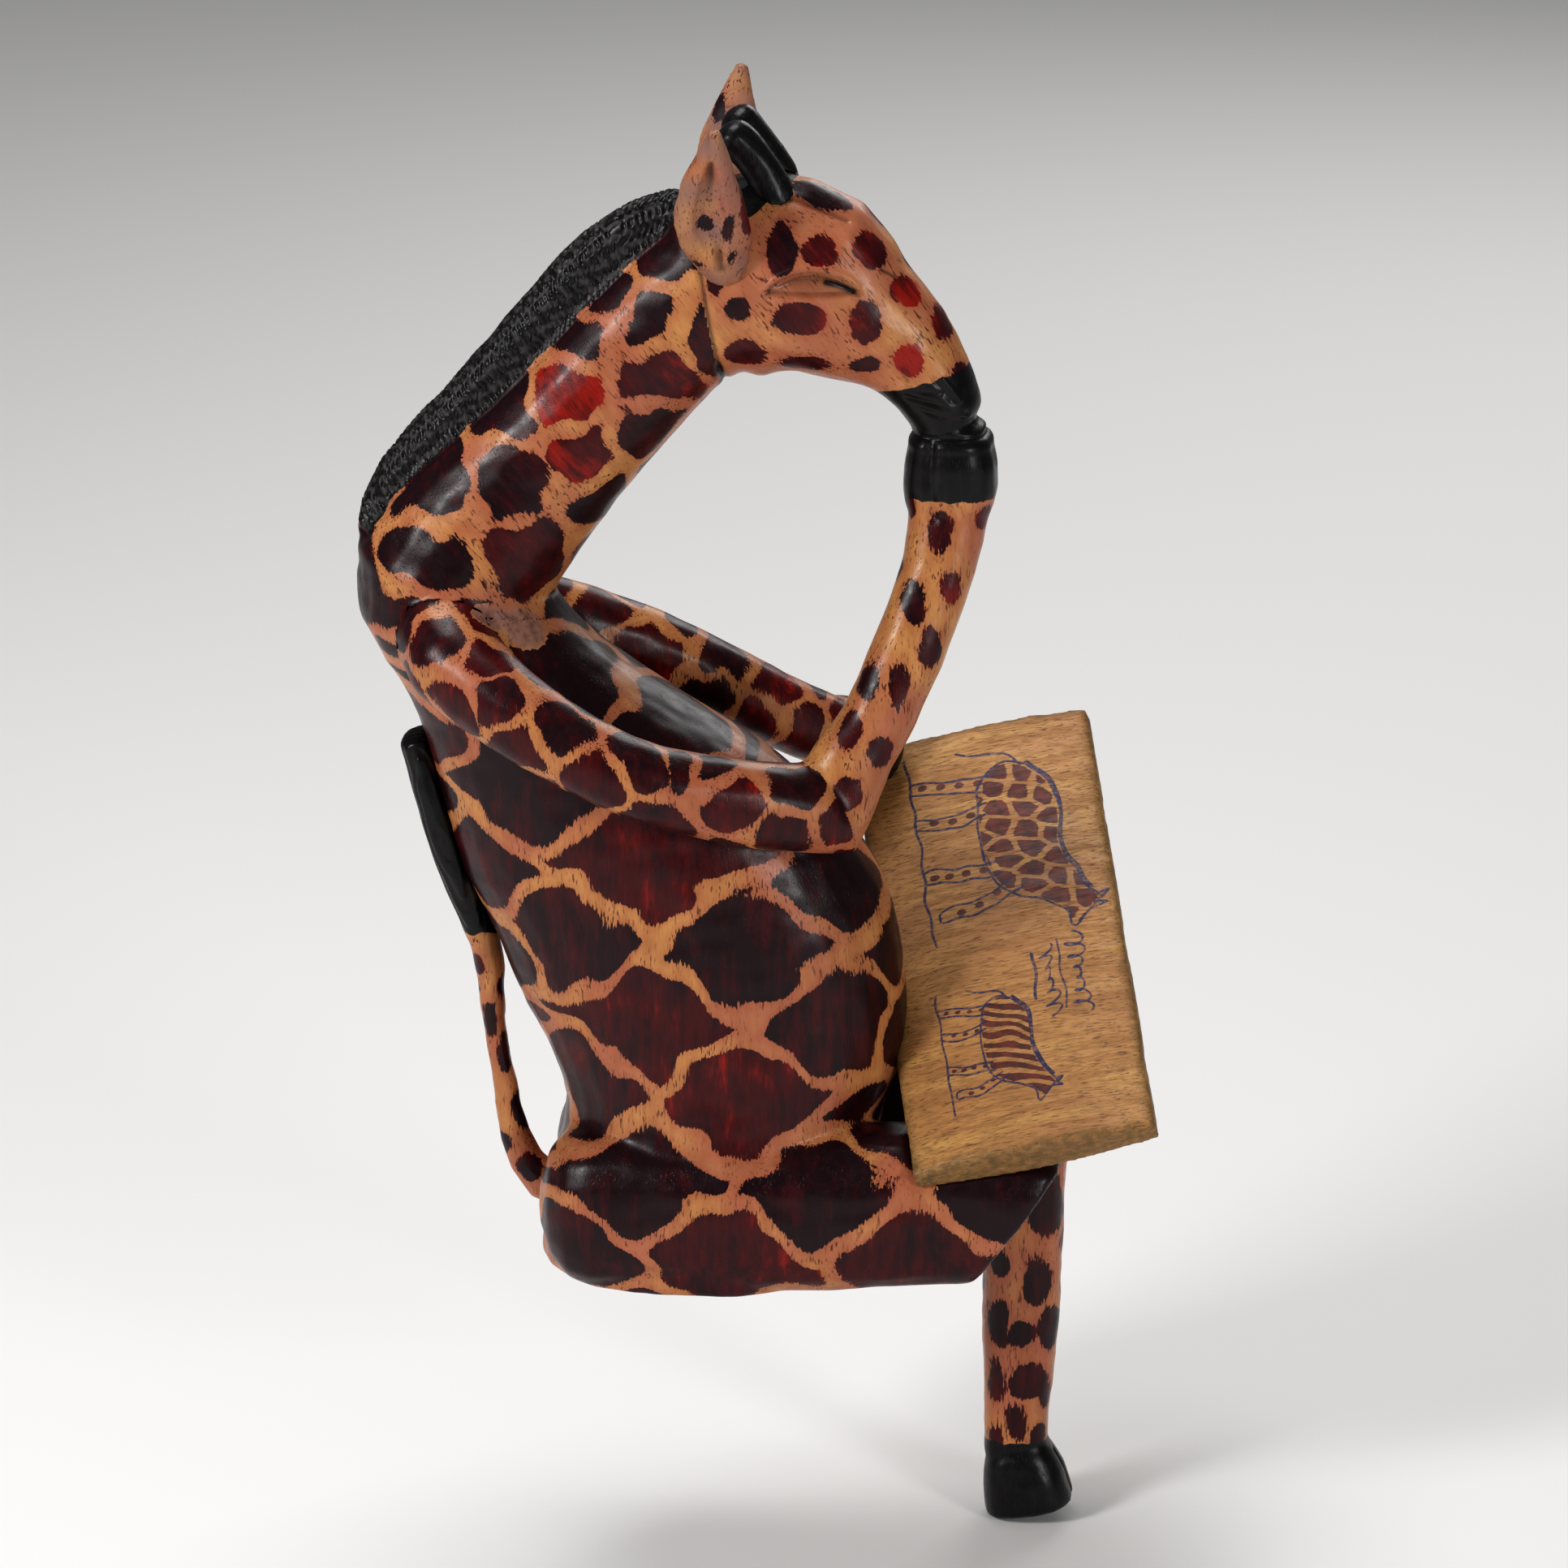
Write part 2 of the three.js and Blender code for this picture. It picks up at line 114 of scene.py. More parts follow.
# Seamless backdrop paper: matt and almost white, so it has no pattern to speak of.
paper, paper_tree, paper_shader = new_material("backdrop_paper")
paper_shader.inputs["Base Color"].default_value = linear("#f6f5f4")
paper_shader.inputs["Roughness"].default_value = 0.9
sole_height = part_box("left_lower_leg")[0][2]
bpy.ops.object.select_all(action="DESELECT")
bpy.ops.mesh.primitive_plane_add(size=12, location=(0, 0, sole_height - 0.3 * MM))
floor = bpy.context.object
floor.name = "floor"
floor.data.materials.append(paper)

world = bpy.data.worlds.new("studio_world")
bpy.context.scene.world = world
world.use_nodes = True
world.node_tree.nodes["Background"].inputs["Color"].default_value = linear("#ffffff")
world.node_tree.nodes["Background"].inputs["Strength"].default_value = 0.13
bpy.context.scene.view_settings.view_transform = "Standard"
bpy.context.scene.view_settings.look = "Medium High Contrast"


def lamp(name, place, aim, size, power):
    """A square soft box at a place, aimed at a point."""
    data = bpy.data.lights.new(name, "AREA")
    data.size = size
    data.energy = power
    light = bpy.data.objects.new(name, data)
    light.location = place
    light.rotation_euler = (Vector(aim) - Vector(place)).to_track_quat("-Z", "Y").to_euler()
    bpy.context.collection.objects.link(light)


lamp("left_soft_box", (-0.8, -0.8, 0.65), (0, 0, 0.1), 0.28, 7.5)
lamp("right_soft_box", (0.9, -1.0, 0.4), (0, 0, 0.1), 0.28, 4.6)
lamp("top_soft_box", (-0.15, 0.15, 1.1), (0, 0, 0.1), 0.5, 5.5)
lamp("back_soft_box", (0.3, 1.2, 0.7), (0, 0, 0.1), 0.6, 3)

# ---- The carved body: torso, neck, head and limbs ----
# Hardwood pieces, glued and dowelled, then carved and sanded together, so the surface runs on
# over each glue line. The glued blank is remeshed fine, eased and detailed with the knife, given
# its coat of spots, and parted again at the glue lines.
CARVED = ("torso", "neck", "head", "right_upper_arm", "right_forearm", "left_arm", "right_shin",
          "left_lower_leg")
TORSO, NECK, HEAD, UPPER_ARM, FOREARM, LEFT_ARM, SHIN, LOWER_LEG = range(len(CARVED))
PAINTED = ("coat", "redness", "black", "painted_shade_and_stain", "worn")
PINS = tuple(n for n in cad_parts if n.endswith("_dowel") or n.endswith("_peg"))
BODY_FACET = 0.74 * MM
GLUE_GAP_CLOSED = 0.22 * MM


def only(*objects):
    """Selects these objects and nothing else, the first one active."""
    bpy.ops.object.select_all(action="DESELECT")
    for obj in objects:
        obj.select_set(True)
    bpy.context.view_layer.objects.active = objects[0]


def modify(obj, kind, **settings):
    """Adds a modifier and applies it at once."""
    only(obj)
    modifier = obj.modifiers.new(kind.lower(), kind)
    for name, value in settings.items():
        setattr(modifier, name, value)
    bpy.ops.object.modifier_apply(modifier=modifier.name)


def copy_of(name, nodes):
    """One object from copies of CAD nodes, their loose triangles merged."""
    copies = []
    for node in nodes:
        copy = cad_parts[node].copy()
        copy.data = copy.data.copy()
        copy.data.materials.clear()
        bpy.context.collection.objects.link(copy)
        copies.append(copy)
    only(*copies)
    if len(copies) > 1:
        bpy.ops.object.join()
    joined = bpy.context.object
    joined.name = name
    joined.data.name = name
    bpy.ops.object.mode_set(mode="EDIT")
    bpy.ops.mesh.select_all(action="SELECT")
    bpy.ops.mesh.remove_doubles(threshold=1e-6)
    bpy.ops.object.mode_set(mode="OBJECT")
    return joined


def numbers_of(items, name, width, kind=np.float32):
    """One property of all the items, as an array with a row for each item."""
    flat = np.empty(len(items) * width, dtype=kind)
    items.foreach_get(name, flat)
    return flat.reshape(-1, width)


def points_of(obj):
    """The vertices as an array in millimetres."""
    return numbers_of(obj.data.vertices, "co", 3).astype(np.float64) / MM


def normals_of(obj):
    """The smooth normal at each vertex."""
    return numbers_of(obj.data.vertex_normals, "vector", 3).astype(np.float64)


def corners_of(obj):
    """The vertex numbers of all face corners, and the face of each corner."""
    corners = numbers_of(obj.data.loops, "vertex_index", 1, np.int32).ravel()
    counts = numbers_of(obj.data.polygons, "loop_total", 1, np.int32).ravel()
    return corners, np.repeat(np.arange(len(counts)), counts)


def carve_by(obj, heights):
    """Moves each vertex along its normal by a height in millimetres."""
    moved = points_of(obj) + normals_of(obj) * heights[:, None]
    obj.data.vertices.foreach_set("co", (moved * MM).astype(np.float32).ravel())
    obj.data.update()


def paint(obj, name, values):
    """Stores a number, or a row of three, for each vertex, for the material to read."""
    values = np.asarray(values, dtype=np.float32)
    kind, field = ("FLOAT", "value") if values.ndim == 1 else ("FLOAT_VECTOR", "vector")
    layer = obj.data.attributes.new(name, kind, "POINT")
    layer.data.foreach_set(field, values.ravel())


def select_faces(obj, chosen):
    """Selects the faces marked True and goes to edit mode."""
    only(obj)
    bpy.ops.object.mode_set(mode="EDIT")
    bpy.ops.mesh.select_mode(type="FACE")
    bpy.ops.mesh.select_all(action="DESELECT")
    bpy.ops.object.mode_set(mode="OBJECT")
    obj.data.polygons.foreach_set("select", chosen)
    bpy.ops.object.mode_set(mode="EDIT")


def keep_largest_shell(obj):
    """Drops the small inner shells that the filled dowel holes leave."""
    first, second = numbers_of(obj.data.edges, "vertices", 2, np.int32).T
    label = np.arange(len(obj.data.vertices))
    settled = False
    while not settled:
        before = label.copy()
        low = np.minimum(label[first], label[second])
        np.minimum.at(label, first, low)
        np.minimum.at(label, second, low)
        label = label[label]
        settled = np.array_equal(before, label)
    shells, sizes = np.unique(label, return_counts=True)
    loose = label != shells[sizes.argmax()]
    if loose.any():
        corners, face = corners_of(obj)
        chosen = np.zeros(len(obj.data.polygons), dtype=bool)
        chosen[face[loose[corners]]] = True
        select_faces(obj, chosen)
        bpy.ops.mesh.delete(type="FACE")
        bpy.ops.mesh.select_all(action="SELECT")
        bpy.ops.mesh.delete_loose()
        bpy.ops.object.mode_set(mode="OBJECT")


def remeshed(name, nodes, facet, easing):
    """Copies of CAD nodes glued into one piece, which is remeshed fine and eased."""
    piece = copy_of(name, nodes)
    if len(nodes) > 1:
        modify(piece, "DISPLACE", strength=GLUE_GAP_CLOSED, mid_level=0)
    modify(piece, "REMESH", mode="VOXEL", voxel_size=facet, use_smooth_shade=True)
    keep_largest_shell(piece)
    modify(piece, "SMOOTH", factor=0.5, iterations=easing)
    return piece


def refine(obj, chosen, easing):
    """Splits the faces marked True into four and eases the whole piece."""
    select_faces(obj, chosen)
    bpy.ops.mesh.subdivide(number_cuts=1, smoothness=0)
    bpy.ops.object.mode_set(mode="OBJECT")
    modify(obj, "SMOOTH", factor=0.5, iterations=easing)


def ripple(points, size, seed):
    """A smooth uneven height between about -1 and 1, with waves about size mm long."""
    dice = random.Random(seed)
    total = np.zeros(len(points))
    for _ in range(7):
        aim = Vector([dice.gauss(0, 1) for axis in "xyz"]).normalized()
        stretch = 2 * math.pi / (size * dice.uniform(0.7, 1.4))
        total += np.sin(points @ np.array(aim) * stretch + dice.uniform(0, 2 * math.pi))
    return total / 3.0


def line_distance(points, line):
    """The distance from each point to a polyline, in the space of its points."""
    line = np.asarray(line, dtype=float)
    best = np.full(len(points), 1e9)
    for start, end in zip(line[:-1], line[1:]):
        run = end - start
        along = np.clip((points - start) @ run / (run @ run), 0, 1)
        best = np.minimum(best, np.linalg.norm(points - start - along[:, None] * run, axis=1))
    return best


def ridge(distance, width):
    """A rounded ridge or groove section, 1 at its middle."""
    return np.exp(-(distance / width) ** 2)


def ramp(value, low, high):
    """0 below low, 1 above high, and smooth between."""
    share = np.clip((value - low) / (high - low), 0, 1)
    return share * share * (3 - 2 * share)


carving = remeshed("carving", CARVED + PINS, BODY_FACET, 14)

# Each place belongs to the piece whose CAD surface lies nearest.
cad_points, cad_faces, cad_owner = [], [], []
for number, node in enumerate(CARVED):
    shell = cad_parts[node].data
    first_point = len(cad_points)
    cad_points += [v.co.copy() for v in shell.vertices]
    cad_faces += [[first_point + v for v in face.vertices] for face in shell.polygons]
    cad_owner += [number] * len(shell.polygons)
nearest_cad = BVHTree.FromPolygons(cad_points, cad_faces)


def owners_of(obj):
    """The number in CARVED of the piece that each vertex lies on."""
    return np.array([cad_owner[nearest_cad.find_nearest(v.co)[2]] for v in obj.data.vertices])


def face_owners(obj, owner, rounds=3):
    """The piece of each face, with the borders evened out."""
    corners, face = corners_of(obj)
    votes = np.zeros((len(owner), len(CARVED)))
    votes[np.arange(len(owner)), owner] = 1
    for _ in range(rounds):
        face_votes = np.zeros((len(obj.data.polygons), len(CARVED)))
        np.add.at(face_votes, face, votes[corners])
        winner = face_votes.argmax(axis=1)
        votes = np.zeros((len(owner), len(CARVED)))
        np.add.at(votes, (corners, winner[face]), 1)
    return winner


# The mane runs up the back of the neck: its foot, its bends and its head end, in x and z.
MANE_LINE = ((-73.4, 153.5), (-70.6, 160.5), (-63.6, 169.2), (-54.3, 179.5), (-42.7, 192.7),
             (-32.2, 205.3), (-23.5, 214), (-12.5, 219), (-6, 221))
MANE_HALF_WIDTH = 6.3
MANE_END = -5.0
MANE_REACH = 11.0


def along_mane(points):
    """Each point's way along the mane's line, and its height outward from that line."""
    flat = points[:, [0, 2]]
    line = np.array(MANE_LINE)
    best = np.full(len(points), 1e9)
    way = np.zeros(len(points))
    height = np.zeros(len(points))
    travelled = 0.0
    for start, end in zip(line[:-1], line[1:]):
        run = end - start
        length = np.linalg.norm(run)
        out = np.array((-run[1], run[0])) / length
        share = np.clip((flat - start) @ run / length ** 2, 0, 1)
        gap = flat - start - share[:, None] * run
        nearer = np.linalg.norm(gap, axis=1) < best
        best = np.where(nearer, np.linalg.norm(gap, axis=1), best)
        way = np.where(nearer, travelled + share * length, way)
        height = np.where(nearer, (flat - start) @ out, height)
        travelled += length
    return way, height


def mane_depth(points):
    """How deep inside the black of the mane each point lies, negative outside it."""
    way, height = along_mane(points)
    foot = (points[:, 0] + 78) * 0.45 + (points[:, 2] - 156) * 0.9
    before_horns = MANE_END - points[:, 0]
    return np.minimum.reduce([MANE_HALF_WIDTH - np.abs(points[:, 1]), height + 1.0, foot, before_horns])


# The knife's finest work needs finer facets: the mane, the head and the limbs.
owner = owners_of(carving)
points = points_of(carving)
fine = np.isin(owner, (HEAD, FOREARM, LEFT_ARM, SHIN, LOWER_LEG))
fine |= np.isin(owner, (NECK, TORSO)) & (mane_depth(points) > -1.5)
corners, face = corners_of(carving)
fine_faces = np.zeros(len(carving.data.polygons), dtype=bool)
fine_faces[face[fine[corners]]] = True
refine(carving, fine_faces, 3)

owner = owners_of(carving)
points = points_of(carving)
x, y, z = points.T
is_head, is_neck = owner == HEAD, owner == NECK
one_side = points * (1, 0, 1) - np.abs(points) * (0, 1, 0)  # both sides folded onto the right one

# Knife work, as heights in millimetres, with the darkening in each cut: painted shade, and some stain that
# gathers there.
cut = 0.16 * ripple(points, 16, 1) + 0.05 * ripple(points, 5, 2)
painted_shade_and_stain = np.zeros(len(points))

# The eye: an almond with a flat lower lid and an arched upper one.
EYE_CENTRE, EYE_FLOOR = 12.8, 210.7
EYE_HALF_LENGTH, EYE_HEIGHT = 9.0, 3.9
across_eye = (x - EYE_CENTRE) / EYE_HALF_LENGTH
lens = np.clip(1 - across_eye ** 2, 0, None)
on_eye = is_head * (np.abs(y) > 8) * ramp(1.15 - np.abs(across_eye), 0, 0.2)
upper_lid = z - EYE_FLOOR - EYE_HEIGHT * lens ** 0.8
lower_lid = z - EYE_FLOOR + 0.4 * lens
in_eye = ramp(-upper_lid, 0, 1.2) * ramp(lower_lid, 0, 1.0) * lens
cut += on_eye * (0.4 * ridge(upper_lid - 1.0, 0.9) - 0.5 * ridge(upper_lid + 0.2, 0.6))
cut += on_eye * (0.6 * in_eye - 0.6 * ridge(lower_lid, 0.45) + 0.25 * ridge(lower_lid + 1.1, 0.7))
# Painted shade under the upper lid, along the lower lid and inside the eye, and a dark slit at its corner.
painted_shade_and_stain += on_eye * (0.4 * ridge(upper_lid + 0.5, 1.1) + 0.5 * ridge(lower_lid, 0.35))
painted_shade_and_stain += on_eye * in_eye * 0.3
slit = line_distance(one_side[:, [0, 2]], ((15.6, 212.9), (17.5, 212.4), (21, 211)))
painted_shade_and_stain += on_eye * 0.8 * ridge(slit, 0.55)

# The brow ridge, a chisel slip on the nose, the nostrils' edges and the lips: a line, its depth,
# its width and how much painted shade, with some stain, darkens it.
FACE_CUTS = (
    (((3.5, -7.0, 229.6), (5.5, -7.1, 229.1), (11.4, -7.9, 227.3), (19.3, -7.3, 224.0)), 0.6, 0.6, 0.5),
    (((26.3, -8.8, 214.5), (28.8, -7.1, 212.6)), 0.25, 0.35, 1.0),
    (((31.5, -8.8, 188.0), (37, -8.9, 186.9), (43.5, -6, 184.4)), 0.55, 0.5, 0.9),
    (((33, -8.9, 185.9), (38, -8.8, 184.3), (43, -6.5, 183)), 0.4, 0.5, 0.9),
    (((30.8, -8.6, 190.5), (35, -9.1, 189.4), (38.5, -8.8, 188.9)), 0.3, 0.45, 0.6),
)
for line, depth, width, stain in FACE_CUTS:
    near_cut = is_head * ridge(line_distance(one_side, line), width)
    cut -= depth * near_cut
    # Each cut is darkened with painted shade and some stain.
    painted_shade_and_stain += stain * near_cut
# The brow's swell, and the nostril's rim and hollow: a line, a height and a width.
FACE_SWELLS = (
    (((5, -8.4, 226), (12, -9.2, 224.5), (19, -8.8, 221)), 0.45, 1.6),
    (((38.7, -8.4, 192), (42.2, -7.2, 187.2)), 0.4, 0.6),
    (((37.4, -8.8, 191.5), (40.6, -7.9, 187.4)), -0.4, 0.7),
)
for line, swell, width in FACE_SWELLS:
    cut += swell * is_head * ridge(line_distance(one_side, line), width)

# The glue line between head and neck shows as a crease from ear to throat, darkened with painted shade, most
# under the jaw where it overhangs the throat.
from_crease = (points - (-9, 0, 208)) @ np.array((0.986, 0, 0.168)) - 0.4
on_throat = (is_head | is_neck) * ramp(np.abs(y), 3, 7) * ramp(221 - z, 0, 4)
cut -= 0.4 * on_throat * ridge(from_crease, 0.7)
painted_shade_and_stain += 0.75 * on_throat * ridge(from_crease, 0.45)
under_throat = (is_head | is_neck) * ramp(196 - z, 0, 3)
cut -= 0.7 * under_throat * ridge(from_crease, 0.8)
painted_shade_and_stain += under_throat * ridge(from_crease, 0.8)

# Rough filler at the root of the neck, where shoulder, neck and chest meet.
FILLER_AT, FILLER_TAIL = (-45.5, -15, 139.2), ((-54, -19, 143), (-47, -15.2, 140))
filler = ramp(5.5 - np.linalg.norm((points - FILLER_AT) / (1.2, 1, 1), axis=1), 0, 2.5)
filler = np.maximum(filler, ramp(3.2 - line_distance(points, FILLER_TAIL), 0, 2))
cut += filler * (0.12 * ripple(points, 2.4, 3) + 0.09 * ripple(points, 1.3, 4))
painted_shade_and_stain += filler * (0.12 + 0.3 * ramp(ripple(points, 1.6, 5), 0.2, 0.9))

# Hooves are split by a cleft, and the propping hoof has a collar under the chin.
COLLAR = 177.2
is_forearm = owner == FOREARM
cleft = line_distance(points, ((36.4, -8.2, 178), (36.2, -8, 172), (36.9, -8, 163)))
cut -= is_forearm * 0.9 * ridge(cleft, 1.1)
# Painted shade darkens the cleft.
painted_shade_and_stain += is_forearm * 0.3 * ridge(cleft, 0.6)
cut += is_forearm * (0.3 * ridge(z - COLLAR, 1.0) - 0.5 * ridge(z - COLLAR - 2.0, 0.55))
toe_cleft = np.hypot(y - 18, np.maximum(0, z + 50)) + 2.0 * ramp(58 - x, 0, 4)
cut -= (owner == LOWER_LEG) * 0.6 * ridge(toe_cleft, 0.8)

# The mane is scored with short slanting cuts in rows, over both walls and the crest.
NOTCH_PITCH, NOTCH_ROW = 1.45, 3.1
on_mane = ramp(mane_depth(points), -0.4, 0.5) * (is_neck | is_head | (owner == TORSO))
way, height = along_mane(points)
down_wall = np.abs(y) + (MANE_REACH - height)
row = np.floor(down_wall / NOTCH_ROW)
in_row = ramp(0.5 - np.abs(down_wall / NOTCH_ROW - row - 0.5), 0.02, 0.3)
uneven = 0.35 * ripple(points, 4, 6)
phase = (way + uneven + 0.42 * down_wall + 0.61 * row) / NOTCH_PITCH
notch = ramp(np.sin(2 * math.pi * phase), -0.1, 0.9) * in_row
cut -= on_mane * (0.5 * notch + 0.08 * (1 - in_row))
worn = on_mane * (1 - notch) * ramp(ripple(points, 2.4, 7), -0.3, 0.9)
worn = np.maximum(worn, 0.75 * filler)
cut -= 0.3 * ridge(mane_depth(points) + 0.7, 0.5) * (is_neck & (height > 0))
carve_by(carving, cut)

# The coat. The torso's net has cells of an ogee shape, blunt above and below and drawn out to
# the sides; the neck and arms have rounded cells. A cell is given by its centre and redness.
OGEE_PITCH, OGEE_WAVE, OGEE_SPREAD = 38.0, 5.0, 6.5
NET_LINE = 3.0
TORSO_SPACING, NECK_SPACING = 21, 12.5
TORSO_CELLS = (
    (-46.8, -21.8, 106.4, .2), (-20.8, -25, 92.5, .5), (-55.5, -14.1, 88.8, .3), (-36.2, -22.7, 76.5, .35),
    (1.4, -24.6, 75.6, .2), (19.4, -12.6, 87, .1), (-19.4, -25.2, 58.6, .5), (20, -19.3, 57.7, .3),
    (-36.2, -19.9, 42.2, .3), (-0.2, -25.9, 42.7, .55), (-22.5, -29.6, 24.7, .2), (16.7, -29.6, 23.4, .1),
    (34, -20.3, 38, .2), (-36.3, -27.8, 8.5, .3), (-4.1, -30.8, 9.8, .5), (35.8, -28.3, 11.1, .45),
    (54.5, -28.5, 23.1, .1), (-14.7, -3.4, 119.7, .1), (-36.5, -15.9, 129.9, .1), (36.3, -2.3, 70.3, .2),
)
NECK_CELLS = (
    (-19.7, -13, 205.1, .15), (-17.3, -12.9, 192.5, .6), (-38, -12.3, 188.5, .95), (-50.1, -8.1, 184.5, .2),
    (-20.1, -8.6, 215.7, .15), (-35.1, -7.7, 200.9, .1), (-47.8, -14.5, 171.1, .2), (-33, -13.5, 176.3, .75),
    (-63.9, -11.6, 168.2, .1), (-21, -10.2, 179.9, .3), (-30.4, -8.6, 164.7, .1), (-65.8, -17.3, 154.4, .1),
    (-44.7, -14.1, 153.1, .45), (-8.3, -13.1, 200.4, .3), (-29.4, -6.6, 208.3, .1),
)
ARM_CELLS = (
    (10.8, -27, 112.2, .2), (-61.3, -28.1, 140.6, .3), (-48.9, -35.4, 130.4, .4), (-35.7, -36.3, 125.9, .3),
    (-29, -38.6, 114.8, .4), (-19.5, -35.4, 119.2, .3), (-11.6, -32.7, 117.7, .3), (-1.5, -35, 110.2, .6),
    (7.9, -31.1, 101.4, .4), (-6.8, -31.5, 116.6, .3),
)
INSIDE, OUTSIDE = 9.0, -9.0  # depths well within a painted shape and well clear of it


def scattered(points, placed, spacing, seed, squash=(1, 1, 1), lowest=0.0, highest=0.6):
    """More cell centres at random places of a surface, none nearer than spacing to another."""
    dice = random.Random(seed)
    kept = [list(cell) for cell in placed]
    scale = np.array(squash)
    candidates = [dice.randrange(len(points)) for _ in range(2500)]
    for candidate in candidates:
        place = points[candidate]
        centres = np.array([cell[:3] for cell in kept]) if kept else np.full((1, 3), 1e6)
        if np.linalg.norm((centres - place) * scale, axis=1).min() > spacing:
            kept.append([*place, dice.uniform(lowest, highest)])
    return np.array(kept)


def net(points, cells, ogee, softness):
    """The distance in mm from each point to its cell's border, and the cell's redness."""
    border = np.empty(len(points))
    tone = np.empty(len(points))
    for start in range(0, len(points), 8000):
        part = slice(start, start + 8000)
        gap = points[part, None, :] - cells[None, :, :3]
        flat = np.hypot(gap[..., 0], gap[..., 1]) + 1e-6
        high = np.sqrt(gap[..., 2] ** 2 + 2.0)
        share = np.minimum(2 * flat / OGEE_PITCH, 1)
        field = high - OGEE_WAVE * np.cos(math.pi * share) + OGEE_SPREAD * (flat / OGEE_PITCH) ** 2
        steep = OGEE_WAVE * 2 * math.pi / OGEE_PITCH * np.sin(math.pi * share)
        steep = steep + 2 * OGEE_SPREAD * flat / OGEE_PITCH ** 2
        slope = np.stack((steep * gap[..., 0] / flat, steep * gap[..., 1] / flat, gap[..., 2] / high), -1)
        round_field = np.linalg.norm(gap, axis=-1) + 1e-6
        field = np.where(ogee, field, round_field)
        slope = np.where(ogee[None, :, None], slope, gap / round_field[..., None])
        nearest = field.argmin(axis=1)
        rows = np.arange(len(nearest))
        ahead = field - field[rows, nearest][:, None]
        tilt = np.linalg.norm(slope - slope[rows, nearest][:, None, :], axis=-1)
        reach = ahead / np.maximum(tilt, 0.3)
        reach[rows, nearest] = 1e3
        least = reach.min(axis=1)
        soft = np.exp(-(reach - least[:, None]) / softness).sum(axis=1)
        border[part] = least - softness * np.log(soft)
        tone[part] = cells[nearest, 3]
    return border, tone


def spots(points, ovals):
    """The depth in mm inside the nearest oval spot, negative outside, and the spot's redness.

    An oval is its centre, its half width, its half height and its redness.
    """
    depth = np.full(len(points), -30.0)
    tone = np.zeros(len(points))
    for cx, cy, cz, half_width, half_height, redness in ovals:
        gap = points - (cx, cy, cz)
        upright = np.hypot(gap[:, 1], gap[:, 2])
        inside = (1 - np.hypot(gap[:, 0] / half_width, upright / half_height)) * min(half_width, half_height)
        nearer = inside > depth
        depth = np.where(nearer, inside, depth)
        tone = np.where(nearer, redness, tone)
    return depth, tone


def strewn_spots(points, ovals, low, high, clearance, seed, tall=1.5):
    """Adds oval spots at random places of a surface, clear of those that are there."""
    dice = random.Random(seed)
    kept = [tuple(oval) for oval in ovals]
    for _ in range(1800):
        place = points[dice.randrange(len(points))]
        width = dice.uniform(low, high)
        tallness = width * dice.uniform(0.9, tall)
        if kept:
            old = np.array(kept)
            gap = np.linalg.norm(old[:, :3] - place, axis=1) - 0.9 * old[:, 3:5].max(axis=1)
            if gap.min() < tallness + clearance:
                continue
        kept.append((*place, width, tallness, dice.uniform(0.1, 0.7)))
    return kept


HEAD_SPOTS = (
    (13.8, -3.8, 228.7, 7.3, 3.8, .2), (6.5, -12.9, 219.1, 3.1, 5.4, .2), (14.4, -12.2, 219.1, 3.6, 3.3, .7),
    (24, -8.2, 218.3, 4.4, 4.0, .6), (31.2, -6.6, 209.7, 3.7, 3.3, 1), (38.3, -3.4, 202.3, 2.6, 4.0, .8),
    (10.6, -13.6, 205.1, 5.3, 3.9, .5), (23.5, -11.9, 204.5, 3.9, 4.1, .6), (32.3, -9.9, 196.3, 3.4, 3.3, 1),
    (-2.1, -13.8, 207.4, 2.8, 2.6, .2), (-0.8, -11, 197.5, 4.9, 3.5, .6), (11, -9.3, 195.1, 4.9, 2.2, .4),
    (23.3, -10.2, 195, 3.7, 1.8, .2), (-6.5, -13.6, 212.3, 2.2, 2.7, .3),
)
FOREARM_SPOTS = (
    (38.4, -8.8, 159.7, 2.5, 4.4, .2), (41, -10.7, 148.3, 2.0, 3.6, .8), (33.4, -12.3, 146.1, 2.4, 4.6, .2),
    (36.9, -13.8, 137.2, 2.2, 4.2, .5), (30.9, -16.7, 129.3, 2.5, 4.6, .5),
    (24.7, -15.5, 130.5, 2.2, 4.0, .3), (21.3, -18.8, 122, 2.2, 4.2, .4),
    (27.5, -19.8, 116.4, 3.2, 3.2, .5), (20.9, -23.3, 108.7, 3.6, 4.0, .5),
)
LEG_SPOTS = (
    (60.2, 11.4, 8.5, 4.0, 7.4, .3), (58.5, 11.4, -9.3, 3.0, 5.3, .3), (61.5, 13, -20.5, 3.3, 5.6, .3),
    (55.5, 11.4, -20.8, 3.0, 3.0, .3), (50.2, 11.6, -5.3, 2.2, 3.3, .3), (50, 11.7, -18.9, 2.4, 4.7, .3),
    (56.7, 12.1, -31.9, 4.6, 4.3, .3), (49.8, 12.1, -31.5, 2.2, 4.2, .3), (54.2, 12, -41.8, 2.7, 4.2, .3),
    (60.8, 14.1, -36.5, 2.0, 3.2, .3), (60, 12, -45, 2.9, 3.0, .3), (50, 13, -44.5, 1.8, 3.4, .3),
)

